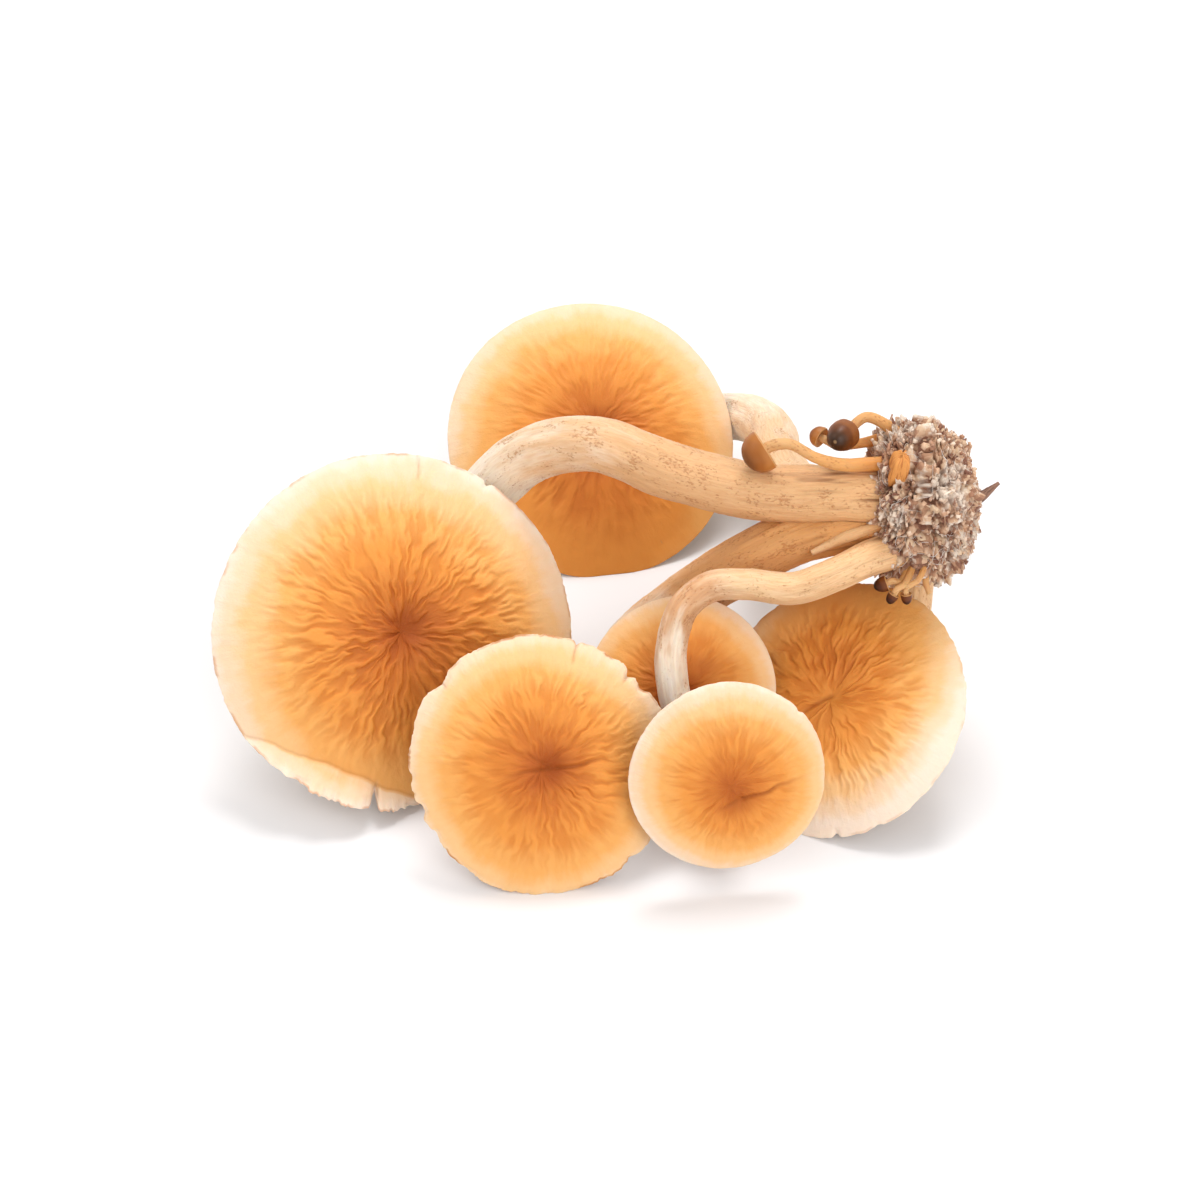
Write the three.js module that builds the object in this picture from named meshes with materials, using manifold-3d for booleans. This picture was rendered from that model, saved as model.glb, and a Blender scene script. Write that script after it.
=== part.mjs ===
// Pioppino mushroom cluster: one harvested bunch, lying on a table as picked.
// Six grown mushrooms arch out of one clump of sawdust, with a few young ones at its foot.
// Millimetres, +Z up. The bunch rests on the rims of four caps; X runs along its longest side.

import * as THREE from 'three';
import { mergeVertices } from 'three/addons/utils/BufferGeometryUtils.js';
import Module from 'manifold-3d';

const wasm = await Module();
wasm.setup();

// ---- driving dimensions ----
const GAP = 0.3; // left between pieces that grow into each other
const RIM_FLAT = 0.5; // how far a resting rim is pressed flat by the table
const CROWN = 0.24; // height of a cap's crown, as a share of its radius
const GILL_DEPTH = 0.18; // depth of the gills at the stem, as a share of the cap's radius
const RIM_EDGE = 0.9; // thickness of a cap's edge
const SEAT_INSET = 1.5; // how far a stem's route runs into its cap before it is trimmed
const STEM_LEAD = 7; // straight run of a stem where it leaves its cap

const CAP_SEGMENTS = 36;
const STEM_SIDES = 12;
const PIN_SIDES = 8;
const STEP_LENGTH = 5; // length of one step along a stem
const CLUMP_DETAIL = 6;

// Each grown cap: its centre on the rim plane, its radius, and the way its crown faces.
// turn is degrees from -Y towards +X, tilt is degrees above level. A resting cap is lowered
// or raised until its rim is pressed flat on the table. uneven is how far from round it is.
const CAPS = [
  { name: 'cap_left', at: [-34.2, -5.2, 22.7], radius: 30.3, turn: 18, tilt: 41, rests: true, uneven: 0.012, seed: 1 },
  { name: 'cap_back', at: [-1.6, 56.6, 16.5], radius: 26, turn: 10, tilt: 52, rests: true, uneven: 0.012, seed: 2.2 },
  { name: 'cap_front', at: [-9.5, -31.7, 17.2], radius: 21.5, turn: 4, tilt: 36, rests: true, uneven: 0.03, seed: 3.1 },
  { name: 'cap_small', at: [20.3, -36.9, 19.2], radius: 16, turn: 6, tilt: 20, rests: false, uneven: 0.02, seed: 4.4 },
  { name: 'cap_middle', at: [13.4, -14.3, 17.2], radius: 15.8, turn: 0, tilt: 44, rests: false, uneven: 0.02, seed: 5.3 },
  { name: 'cap_right', at: [39.6, -13.9, 13.6], radius: 22, turn: -38, tilt: 52, rests: true, uneven: 0.015, seed: 6.2 },
];

// Each stem runs from inside the clump, through its route, to the seat under its cap.
// thick is its radius at the foot, the middle and the cap.
const STEMS = [
  {
    name: 'stem_left', cap: 'cap_left', thick: [4.5, 4.8, 4.4],
    route: [[52, 5, 43], [42.8, 2.7, 45.3], [32.7, 3.4, 44.6], [24.3, 4.7, 44.6], [11.5, 7.9, 46.2], [0, 13.8, 47],
      [-7, 17.3, 44], [-13, 19.8, 39.3], [-18.2, 20.4, 33.3], [-24.6, 18.6, 25.6]],
  },
  {
    name: 'stem_front', cap: 'cap_front', thick: [4.6, 4.7, 4.2],
    route: [[52, 6, 38], [43.7, 3.5, 39.6], [35.5, 2.4, 38.2], [27.2, 1.4, 34.4], [20.5, 3.4, 27.4], [14, 5, 20.5],
      [6, 1, 15], [0.6, -7.5, 10.8]],
  },
  {
    name: 'stem_small', cap: 'cap_small', thick: [2.7, 2.6, 2.4],
    route: [[53, 1, 36.5], [44, -5.5, 38.6], [38.2, -9, 38.2], [31.3, -10.2, 36.1], [23.8, -9.8, 36.6], [17.8, -10.2, 36.4],
      [13.4, -12.9, 34.2], [11.6, -16, 29.4], [11.6, -19.4, 25], [12.8, -22.4, 20.8]],
  },
  {
    name: 'stem_middle', cap: 'cap_middle', thick: [3, 3, 2.8],
    route: [[54, 9, 36], [44.6, 9, 34.6], [36, 8.6, 32.6], [26, 9.6, 26.4], [20, 11.4, 20], [17.4, 11.4, 13.4],
      [16, 6.4, 8.4]],
  },
  {
    name: 'stem_back', cap: 'cap_back', thick: [4.2, 4.6, 4.2],
    route: [[55, 12, 40], [45.4, 15.4, 37.4], [37.4, 20, 32.4], [33.4, 29, 26.8], [31.4, 40.4, 23.6], [31, 52, 19.6],
      [29.4, 60.5, 16.2], [24.6, 67.6, 12.6], [16, 71, 9]],
  },
  {
    name: 'stem_right', cap: 'cap_right', thick: [3.4, 3.6, 3.6],
    route: [[55, 7, 36], [53, 7.5, 27], [52.5, 6.5, 17], [51, 2, 9.5]],
  },
];

// The clump: an uneven lump, flat where the stems enter, round on its far side.
const CLUMP = { at: [53.4, 5, 42.6], toStems: 9.6, away: 10, deep: 13.4, high: 15.6, seed: 7 };

// Young mushrooms: cap width, cap height, where the cap's foot is, the way it points, and the
// route of its stem from the clump.
const PINS = [
  {
    name: 'pin_acorn', width: 7, height: 3, at: [26.6, 3.7, 53.6], points: [-0.82, -0.3, -0.42], thick: 1.1,
    route: [[46, 3, 51.4], [39, 1.4, 52.4], [34.8, 2, 53.4], [30.6, 3.6, 54.9]],
  },
  {
    name: 'pin_dark', width: 5.2, height: 3.6, at: [39.8, 7.4, 54], points: [-0.4, -0.85, 0.3], thick: 0.9,
    route: [[48, 10.5, 56], [43.6, 10.4, 55.6]],
  },
  {
    name: 'pin_pale', width: 3.6, height: 1.6, at: [36.1, 8.4, 52.6], points: [-0.75, 0.6, 0.1], thick: 0.7,
    route: [[46, 9.4, 51.4], [39.4, 8.8, 50.6]],
  },
  {
    name: 'pin_low_a', width: 2.6, height: 1.7, at: [46.6, -7.9, 35.2], points: [-0.85, -0.1, -0.3], thick: 0.6,
    route: [[51.5, -2.4, 37], [49, -7.2, 34.9]],
  },
  {
    name: 'pin_low_b', width: 1.9, height: 1.4, at: [47.8, -9.3, 33.9], points: [-0.5, -0.3, -0.85], thick: 0.55,
    route: [[52, -2, 36.6], [49.6, -8.4, 35.4]],
  },
  {
    name: 'pin_low_c', width: 1.9, height: 1.4, at: [49.9, -9, 33.7], points: [0.1, -0.3, -0.95], thick: 0.55,
    route: [[54, -1.6, 37], [51.8, -7.8, 35.8]],
  },
  {
    name: 'pin_aborted', width: 2.6, height: 1.4, at: [41, -5.4, 34.8], points: [-0.6, -0.5, -0.6], thick: 0.7,
    route: [[48, 0.4, 37], [43.6, -4, 35.4]],
  },
];

// Thin tapered bits: a withered young stem in the fork of two stems, and a splinter in the clump.
const SLIVERS = [
  { name: 'pin_withered', from: [46, -1.6, 42.4], to: [34.5, -4.3, 38.6], thick: 1, tip: 0.4, colour: 'stem' },
  { name: 'twig', from: [58, 4, 40.5], to: [65.6, 6.6, 44.6], thick: 1.1, tip: 0.25, colour: 'clump' },
  { name: 'pin_thread', from: [53.3, -3, 35], to: [53.9, -6.8, 32], thick: 0.5, tip: 0.35, colour: 'stem' },
];

const CHIP = { at: [48.1, -0.5, 53], size: [3, 2.4, 7.4], turn: [-38, 6, -24] };

const CAP_COLOUR = 0xf2a552;
const STEM_COLOUR = 0xecc79c;
const CLUMP_COLOUR = 0x8f7265;
const CHIP_COLOUR = 0xd98c42;
const PIN_COLOUR = 0x8a4f28;

// ---- helpers ----
const vec = ([x, y, z]) => new THREE.Vector3(x, y, z);

const finish = (color, roughness) => new THREE.MeshStandardMaterial({ color, roughness, metalness: 0 });

// The way a cap's crown faces.
function facing({ turn, tilt }) {
  const t = THREE.MathUtils.degToRad(turn);
  const e = THREE.MathUtils.degToRad(tilt);
  return new THREE.Vector3(Math.sin(t) * Math.cos(e), -Math.cos(t) * Math.cos(e), Math.sin(e));
}

// A slow wave round a full turn, between about -1 and 1.
function wave(angle, seed) {
  return 0.5 * Math.sin(2 * angle + seed) + 0.3 * Math.sin(3 * angle + 2.1 * seed) + 0.2 * Math.sin(5 * angle + 3.7 * seed);
}

// A closed geometry as a solid that can be joined and cut.
function toSolid(geometry) {
  const bare = geometry.clone();
  bare.deleteAttribute('normal');
  bare.deleteAttribute('uv');
  const merged = mergeVertices(bare, 1e-4);
  const index = merged.index.array;
  const triangles = [];
  for (let i = 0; i < index.length; i += 3) {
    const [a, b, c] = [index[i], index[i + 1], index[i + 2]];
    if (a !== b && b !== c && c !== a) triangles.push(a, b, c);
  }
  const mesh = new wasm.Mesh({
    numProp: 3,
    vertProperties: new Float32Array(merged.attributes.position.array),
    triVerts: new Uint32Array(triangles),
  });
  return new wasm.Manifold(mesh);
}

function toGeometry(solid) {
  const { vertProperties, triVerts } = solid.getMesh();
  const geometry = new THREE.BufferGeometry();
  geometry.setAttribute('position', new THREE.BufferAttribute(vertProperties, 3));
  geometry.setIndex(new THREE.BufferAttribute(triVerts, 1));
  geometry.computeVertexNormals();
  return geometry;
}

// Moves each vertex of a geometry by a rule.
function reshape(geometry, rule) {
  const position = geometry.attributes.position;
  const p = new THREE.Vector3();
  for (let i = 0; i < position.count; i += 1) {
    p.fromBufferAttribute(position, i);
    rule(p);
    position.setXYZ(i, p.x, p.y, p.z);
  }
  return geometry;
}

// ---- caps ----
// A cap in its own frame: axis +Z, rim plane at z = 0, flat seat for the stem underneath.
function capGeometry({ radius, uneven, seed }, seatRadius) {
  const depth = GILL_DEPTH * radius;
  const crown = CROWN * radius;
  const profile = [new THREE.Vector2(0, -depth), new THREE.Vector2(seatRadius, -depth)];
  const steps = 3;
  for (let i = 1; i <= steps; i += 1) {
    const t = i / steps;
    const r = THREE.MathUtils.lerp(seatRadius, radius - 0.3 * RIM_EDGE, t);
    profile.push(new THREE.Vector2(r, -depth * (1 - t) - 0.5 * RIM_EDGE));
  }
  for (const share of [1, 0.93, 0.8, 0.6, 0.36, 0.14]) {
    const height = crown * (1 - share ** 2.3) + 0.5 * RIM_EDGE * (1 - share);
    profile.push(new THREE.Vector2(radius * share, height));
  }
  profile.push(new THREE.Vector2(0, crown));
  const cap = new THREE.LatheGeometry(profile, CAP_SEGMENTS);
  cap.rotateX(Math.PI / 2);
  return reshape(cap, (p) => {
    const angle = Math.atan2(p.y, p.x);
    const out = Math.min(1, Math.hypot(p.x, p.y) / radius);
    const stretch = 1 + uneven * wave(angle, seed) * out ** 2;
    p.x *= stretch;
    p.y *= stretch;
    p.z += 0.5 * uneven * radius * wave(angle, seed + 1.7) * out ** 3;
  });
}

const table = toSolid(new THREE.BoxGeometry(400, 400, 40).translate(0, 0, -20));

function seatRadiusOf(cap) {
  const stem = STEMS.find((s) => s.cap === cap.name);
  return stem.thick[2] + 0.6;
}

function placeCap(cap) {
  const shape = capGeometry(cap, seatRadiusOf(cap));
  const mesh = new THREE.Mesh(shape, finish(CAP_COLOUR, 0.5));
  mesh.name = cap.name;
  mesh.position.copy(vec(cap.at));
  mesh.quaternion.setFromUnitVectors(new THREE.Vector3(0, 0, 1), facing(cap));
  mesh.updateMatrixWorld(true);
  if (cap.rests) {
    const low = new THREE.Box3().setFromObject(mesh, true).min.z;
    mesh.position.z -= low + RIM_FLAT;
    mesh.updateMatrixWorld(true);
    const placed = toSolid(shape.clone().applyMatrix4(mesh.matrixWorld));
    const cut = toGeometry(placed.subtract(table));
    mesh.geometry = cut.applyMatrix4(mesh.matrixWorld.clone().invert());
  }
  return mesh;
}

// ---- stems ----
// A round tube along a route, its radius read at each step from the foot to the cap.
function tube(route, radii, sides, grow = 0) {
  const curve = new THREE.CatmullRomCurve3(route, false, 'centripetal');
  const steps = Math.max(4, Math.round(curve.getLength() / STEP_LENGTH));
  const corner = (_, i) => new THREE.Vector2(1, 0).rotateAround(new THREE.Vector2(), (2 * Math.PI * i) / sides);
  const shape = new THREE.Shape(Array.from({ length: sides }, corner));
  const geometry = new THREE.ExtrudeGeometry(shape, { steps, extrudePath: curve, curveSegments: 1 });
  const rings = curve.getSpacedPoints(steps);
  const slopes = rings.map((_, i) => curve.getTangentAt(i / steps));
  const reach = new THREE.CatmullRomCurve3(radii.map((r, i) => new THREE.Vector3(i, r, 0)));
  return reshape(geometry, (p) => {
    const misfit = (i) => Math.abs(p.distanceTo(rings[i]) - 1) + Math.abs(p.clone().sub(rings[i]).dot(slopes[i]));
    let ring = 0;
    for (let i = 1; i <= steps; i += 1) {
      if (misfit(i) < misfit(ring)) ring = i;
    }
    const radius = reach.getPoint(ring / steps).y + grow;
    p.sub(rings[ring]).multiplyScalar(radius).add(rings[ring]);
  });
}

function stemRoute(stem, cap, mesh) {
  const out = facing(cap).negate();
  const seat = mesh.position.clone().addScaledVector(out, GILL_DEPTH * cap.radius);
  return [
    ...stem.route.map(vec),
    seat.clone().addScaledVector(out, STEM_LEAD),
    seat.clone().addScaledVector(out, -SEAT_INSET),
  ];
}

// ---- clump ----
function clumpGeometry(grow = 0) {
  const { at, toStems, away, deep, high, seed } = CLUMP;
  const lump = new THREE.IcosahedronGeometry(1, CLUMP_DETAIL);
  reshape(lump, (p) => {
    const rough = 1
      + 0.06 * Math.sin(5 * p.x + seed) * Math.sin(4 * p.y + 2 * seed)
      + 0.05 * Math.sin(7 * p.z + seed) * Math.sin(6 * p.y - seed)
      + 0.03 * Math.sin(11 * p.x - seed) * Math.sin(12 * p.z + seed);
    const x = p.x < 0 ? -Math.sqrt(-p.x) * toStems : p.x * away;
    p.set(x * rough, p.y * deep * rough, p.z * high * rough);
    p.multiplyScalar(1 + grow / p.length());
  });
  return lump.translate(...at);
}


// ---- pins ----
// A young cap in its own frame: axis +Z, its foot at the origin.
function pinCapGeometry({ width, height }, grow = 0) {
  const profile = [new THREE.Vector2(0, -grow), new THREE.Vector2(0.5 * width + grow, -grow)];
  for (const share of [1, 0.9, 0.7, 0.4]) {
    profile.push(new THREE.Vector2(0.5 * width * share + grow, height * (1 - share ** 2.6) + 0.25 * height));
  }
  profile.push(new THREE.Vector2(0, 1.25 * height + grow));
  return new THREE.LatheGeometry(profile, 16).rotateX(Math.PI / 2);
}

function placePinCap(pin) {
  const mesh = new THREE.Mesh(pinCapGeometry(pin), finish(PIN_COLOUR, 0.45));
  mesh.name = `${pin.name}_cap`;
  mesh.position.copy(vec(pin.at));
  mesh.quaternion.setFromUnitVectors(new THREE.Vector3(0, 0, 1), vec(pin.points).normalize());
  mesh.updateMatrixWorld(true);
  return mesh;
}

// A tapered sliver between two points, as a solid in the bunch's frame.
function sliver({ from, to, thick, tip }) {
  const [start, end] = [vec(from), vec(to)];
  const along = end.clone().sub(start);
  const geometry = new THREE.CylinderGeometry(tip, thick, along.length(), 7).rotateX(Math.PI / 2);
  const turn = new THREE.Quaternion().setFromUnitVectors(new THREE.Vector3(0, 0, 1), along.clone().normalize());
  return toSolid(geometry.applyQuaternion(turn).translate(...start.add(end).multiplyScalar(0.5)));
}

// ---- the bunch ----
const bunch = new THREE.Group();

function addSolid(name, solid, material) {
  const mesh = new THREE.Mesh(toGeometry(solid), material);
  mesh.name = name;
  bunch.add(mesh);
}

const clump = toSolid(clumpGeometry());
const grownParts = [toSolid(clumpGeometry(GAP))];
const withoutGrown = (solid) => grownParts.reduce((left, part) => left.subtract(part), solid);

const capMeshes = new Map();
for (const cap of CAPS) {
  const mesh = placeCap(cap);
  capMeshes.set(cap.name, mesh);
  bunch.add(mesh);
}

for (const stem of STEMS) {
  const cap = CAPS.find((c) => c.name === stem.cap);
  const mesh = capMeshes.get(stem.cap);
  const route = stemRoute(stem, cap, mesh);
  const out = facing(cap).negate();
  const block = new THREE.CylinderGeometry(12, 12, 8, 24).rotateX(Math.PI / 2);
  block.applyQuaternion(new THREE.Quaternion().setFromUnitVectors(new THREE.Vector3(0, 0, 1), out));
  const seat = mesh.position.clone().addScaledVector(out, GILL_DEPTH * cap.radius + GAP - 4);
  const trimmed = toSolid(tube(route, stem.thick, STEM_SIDES)).subtract(toSolid(block.translate(...seat)));
  addSolid(stem.name, withoutGrown(trimmed), finish(STEM_COLOUR, 0.6));
  grownParts.push(toSolid(tube(route, stem.thick, STEM_SIDES, GAP)));
}

for (const pin of PINS) {
  const cap = placePinCap(pin);
  const axis = vec(pin.points).normalize();
  const foot = vec(pin.at);
  const route = [...pin.route.map(vec), foot.clone().addScaledVector(axis, -1.2), foot.clone().addScaledVector(axis, 0.6)];
  const radii = [1.3 * pin.thick, pin.thick, pin.thick];
  const grownCap = toSolid(pinCapGeometry(pin, GAP).applyMatrix4(cap.matrixWorld));
  const stem = withoutGrown(toSolid(tube(route, radii, PIN_SIDES)).subtract(grownCap));
  bunch.add(cap);
  addSolid(`${pin.name}_stem`, stem, finish(STEM_COLOUR, 0.6));
}

const chipShape = new THREE.BoxGeometry(...CHIP.size);
const chipTurn = new THREE.Euler(...CHIP.turn.map(THREE.MathUtils.degToRad));
const placeChip = (g) => toSolid(g.applyQuaternion(new THREE.Quaternion().setFromEuler(chipTurn)).translate(...CHIP.at));
addSolid('wood_chip', placeChip(chipShape), finish(CHIP_COLOUR, 0.7));
const chipPocket = placeChip(new THREE.BoxGeometry(...CHIP.size.map((side) => side + 2 * GAP)));

let hollowed = clump.subtract(chipPocket);
for (const part of SLIVERS) {
  const solid = sliver(part);
  const grown = sliver({ ...part, thick: part.thick + GAP, tip: part.tip + GAP });
  if (part.colour === 'clump') hollowed = hollowed.subtract(grown);
  const color = part.colour === 'clump' ? CLUMP_COLOUR : STEM_COLOUR;
  addSolid(part.name, part.colour === 'clump' ? solid : withoutGrown(solid), finish(color, 0.8));
}
addSolid('substrate_clump', hollowed, finish(CLUMP_COLOUR, 0.9));

// The origin is the middle of the bunch's footprint box, on the table.
const centre = new THREE.Box3().setFromObject(bunch, true).getCenter(new THREE.Vector3());
bunch.position.set(-centre.x, -centre.y, 0);

export default new THREE.Group().add(bunch);
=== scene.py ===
"""Pioppino mushroom cluster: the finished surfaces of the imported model.

Lengths are in millimetres until a mesh is made, and the mesh is in metres.
Every piece stands for the CAD solid that it covers and rides on the one body.
"""

import math

import bpy
import numpy as np
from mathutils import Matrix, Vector


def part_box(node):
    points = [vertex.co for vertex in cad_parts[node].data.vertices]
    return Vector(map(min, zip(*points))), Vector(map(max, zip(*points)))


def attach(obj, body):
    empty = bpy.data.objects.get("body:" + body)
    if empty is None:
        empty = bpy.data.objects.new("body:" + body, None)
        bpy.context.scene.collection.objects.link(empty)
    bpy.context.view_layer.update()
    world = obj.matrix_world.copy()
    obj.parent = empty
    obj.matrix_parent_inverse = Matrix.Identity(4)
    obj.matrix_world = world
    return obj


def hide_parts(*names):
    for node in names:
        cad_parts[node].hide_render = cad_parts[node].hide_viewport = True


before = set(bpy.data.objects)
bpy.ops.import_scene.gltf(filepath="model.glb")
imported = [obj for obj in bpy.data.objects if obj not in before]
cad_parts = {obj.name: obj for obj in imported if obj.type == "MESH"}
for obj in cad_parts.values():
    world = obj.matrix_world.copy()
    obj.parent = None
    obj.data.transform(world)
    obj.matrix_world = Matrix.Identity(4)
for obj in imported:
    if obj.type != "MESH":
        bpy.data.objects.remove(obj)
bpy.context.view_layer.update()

MM = 0.001
TAU = 2 * math.pi

# How far the bunch was moved to put its origin under its middle.
ORIGIN_SHIFT = np.array([-0.98, -16.37, 0.0])

# Shares of a cap's radius that the CAD caps are made to.
CROWN = 0.24
GILL_DEPTH = 0.18

# The skin stays this share of the radius inside the CAD rim, and its rows close up near the rim.
RIM_INSET = 0.006
RIM_FROM = 0.93
RIM_ROWS = 16

# Pairs of gill blades for each millimetre of a cap's radius.
BLADE_PAIRS = 1.35


# ---------------------------------------------------------------- numbers
def hashed(ix, iy, iz, seed):
    """A repeatable random value from 0 to 1 for each lattice corner."""
    h = (ix.astype(np.int64) * 374761393 + iy.astype(np.int64) * 668265263
         + iz.astype(np.int64) * 2147483647 + seed * 1274126177) & 0xFFFFFFFF
    h = ((h ^ (h >> 13)) * 1274126177) & 0xFFFFFFFF
    h = ((h ^ (h >> 16)) * 2246822519) & 0xFFFFFFFF
    return ((h ^ (h >> 15)) & 0xFFFFFF) / float(0xFFFFFF)


def noise(x, y, z, seed):
    """Smooth noise between -1 and 1 with features about one unit across."""
    x, y, z = np.broadcast_arrays(x, y, z)
    fx, fy, fz = np.floor(x), np.floor(y), np.floor(z)
    ux, uy, uz = x - fx, y - fy, z - fz
    sx, sy, sz = (u * u * u * (u * (u * 6 - 15) + 10) for u in (ux, uy, uz))
    total = np.zeros(x.shape)
    for dx in (0, 1):
        for dy in (0, 1):
            for dz in (0, 1):
                weight = ((sx if dx else 1 - sx) * (sy if dy else 1 - sy) * (sz if dz else 1 - sz))
                total += weight * hashed(fx + dx, fy + dy, fz + dz, seed)
    return 2 * total - 1


def layered(x, y, z, seed, layers=3):
    """Noise with finer layers added at half the strength each."""
    total, strength, size = 0.0, 1.0, 1.0
    for layer in range(layers):
        total = total + strength * noise(x * size, y * size, z * size, seed + 17 * layer)
        strength *= 0.5
        size *= 2.03
    return total / (2 - 2 * strength)


def ease(low, high, value):
    """0 below low, 1 above high, and a smooth step between."""
    t = np.clip((value - low) / (high - low), 0, 1)
    return t * t * (3 - 2 * t)


def bump_at(angle, centre, width):
    """A hump of height 1 round a bearing given in degrees."""
    away = (np.degrees(angle) - centre + 180) % 360 - 180
    return np.exp(-((away / width) ** 2))


def smear(grid, sigma):
    """Blurs a grid along its first axis, by sigma rows."""
    reach = max(1, int(3 * sigma))
    taps = np.exp(-0.5 * (np.arange(-reach, reach + 1) / sigma) ** 2)
    taps /= taps.sum()
    padded = np.concatenate([np.repeat(grid[:1], reach, 0), grid, np.repeat(grid[-1:], reach, 0)])
    return sum(w * padded[i:i + len(grid)] for i, w in enumerate(taps))


# ---------------------------------------------------------------- meshes
def grid_faces(rows, columns):
    """Quads of a grid whose columns close on themselves."""
    r, c = np.meshgrid(np.arange(rows - 1), np.arange(columns), indexing="ij")
    n = (c + 1) % columns
    quads = np.stack([r * columns + c, r * columns + n, (r + 1) * columns + n, (r + 1) * columns + c], -1)
    return quads.reshape(-1, 4)


def end_fans(rows, columns):
    """Triangles that close both ends of a grid, to two points that follow the grid's own."""
    tip, last = rows * columns, (rows - 1) * columns
    fans = [(tip, (c + 1) % columns, c) for c in range(columns)]
    return fans + [(tip + 1, last + c, last + (c + 1) % columns) for c in range(columns)]


def make_piece(name, points, quads, tris=None, values=None, covers=(), material=None):
    """A smooth mesh object from points in millimetres, riding on the root body."""
    tris = np.zeros((0, 3), int) if tris is None else np.asarray(tris, int)
    mesh = bpy.data.meshes.new(name)
    corner_count = 4 * len(quads) + 3 * len(tris)
    mesh.vertices.add(len(points))
    mesh.vertices.foreach_set("co", (np.asarray(points) * MM).astype(np.float32).ravel())
    mesh.loops.add(corner_count)
    mesh.loops.foreach_set("vertex_index", np.concatenate([quads.ravel(), tris.ravel()]).astype(np.int32))
    starts = np.concatenate([4 * np.arange(len(quads)), 4 * len(quads) + 3 * np.arange(len(tris))])
    mesh.polygons.add(len(quads) + len(tris))
    mesh.polygons.foreach_set("loop_start", starts.astype(np.int32))
    mesh.update(calc_edges=True)
    mesh.validate()
    mesh.polygons.foreach_set("use_smooth", np.ones(len(mesh.polygons), bool))
    for label, value in (values or {}).items():
        value = np.asarray(value, np.float32)
        if value.ndim == 1:
            mesh.attributes.new(label, "FLOAT", "POINT").data.foreach_set("value", value)
        else:
            mesh.attributes.new(label, "FLOAT_VECTOR", "POINT").data.foreach_set("vector", value.ravel())
    piece = bpy.data.objects.new(name, mesh)
    bpy.context.scene.collection.objects.link(piece)
    if material:
        mesh.materials.append(material)
    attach(piece, "root")
    if covers:
        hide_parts(*covers)
    return piece


def node_points(node):
    """The CAD node's separate corners, in millimetres, and its triangles over them."""
    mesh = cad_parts[node].data
    co = np.empty(3 * len(mesh.vertices), np.float32)
    mesh.vertices.foreach_get("co", co)
    mesh.calc_loop_triangles()
    tri = np.empty(3 * len(mesh.loop_triangles), np.int32)
    mesh.loop_triangles.foreach_get("vertices", tri)
    rounded = np.round(co.reshape(-1, 3) / MM, 3)
    corners, where = np.unique(rounded, axis=0, return_inverse=True)
    return corners, where.ravel()[tri].reshape(-1, 3)


# ---------------------------------------------------------------- cap frames
class CapFrame:
    """Where a CAD cap is: its centre on the rim plane, its axis, radius and outline."""

    def __init__(self, node):
        corners, triangles = node_points(node)
        busy = np.bincount(triangles.ravel(), minlength=len(corners))
        ends = corners[np.argsort(busy)[-2:]]
        crown, seat = ends
        axis = (crown - seat) / np.linalg.norm(crown - seat)
        if axis[1] > 0:
            crown, seat, axis = seat, crown, -axis
        self.radius = np.linalg.norm(crown - seat) / (CROWN + GILL_DEPTH)
        self.axis = axis
        self.centre = crown - axis * CROWN * self.radius
        self.right = np.cross([0, 0, 1], axis)
        self.right /= np.linalg.norm(self.right)
        self.up = np.cross(axis, self.right)
        local = (corners - self.centre) @ np.stack([self.right, self.up, self.axis], 1)
        self.out = np.hypot(local[:, 0], local[:, 1])
        self.bearing = np.arctan2(local[:, 1], local[:, 0]) % TAU

    def outline(self, angle):
        """The CAD rim's radius at each bearing."""
        bins = 36
        slot = (self.bearing / TAU * bins + 0.5).astype(int) % bins
        rim = np.array([self.out[slot == b].max() for b in range(bins)])
        turn = (angle % TAU) / TAU * bins
        low = np.floor(turn).astype(int)
        t = turn - low
        t = t * t * (3 - 2 * t)
        return rim[low % bins] * (1 - t) + rim[(low + 1) % bins] * t

    def place(self, x, y, z):
        """Points given in the cap's own frame, in the model's frame."""
        flat = np.stack([np.ravel(x), np.ravel(y), np.ravel(z)], 1)
        return self.centre + flat @ np.stack([self.right, self.up, self.axis])


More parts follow.
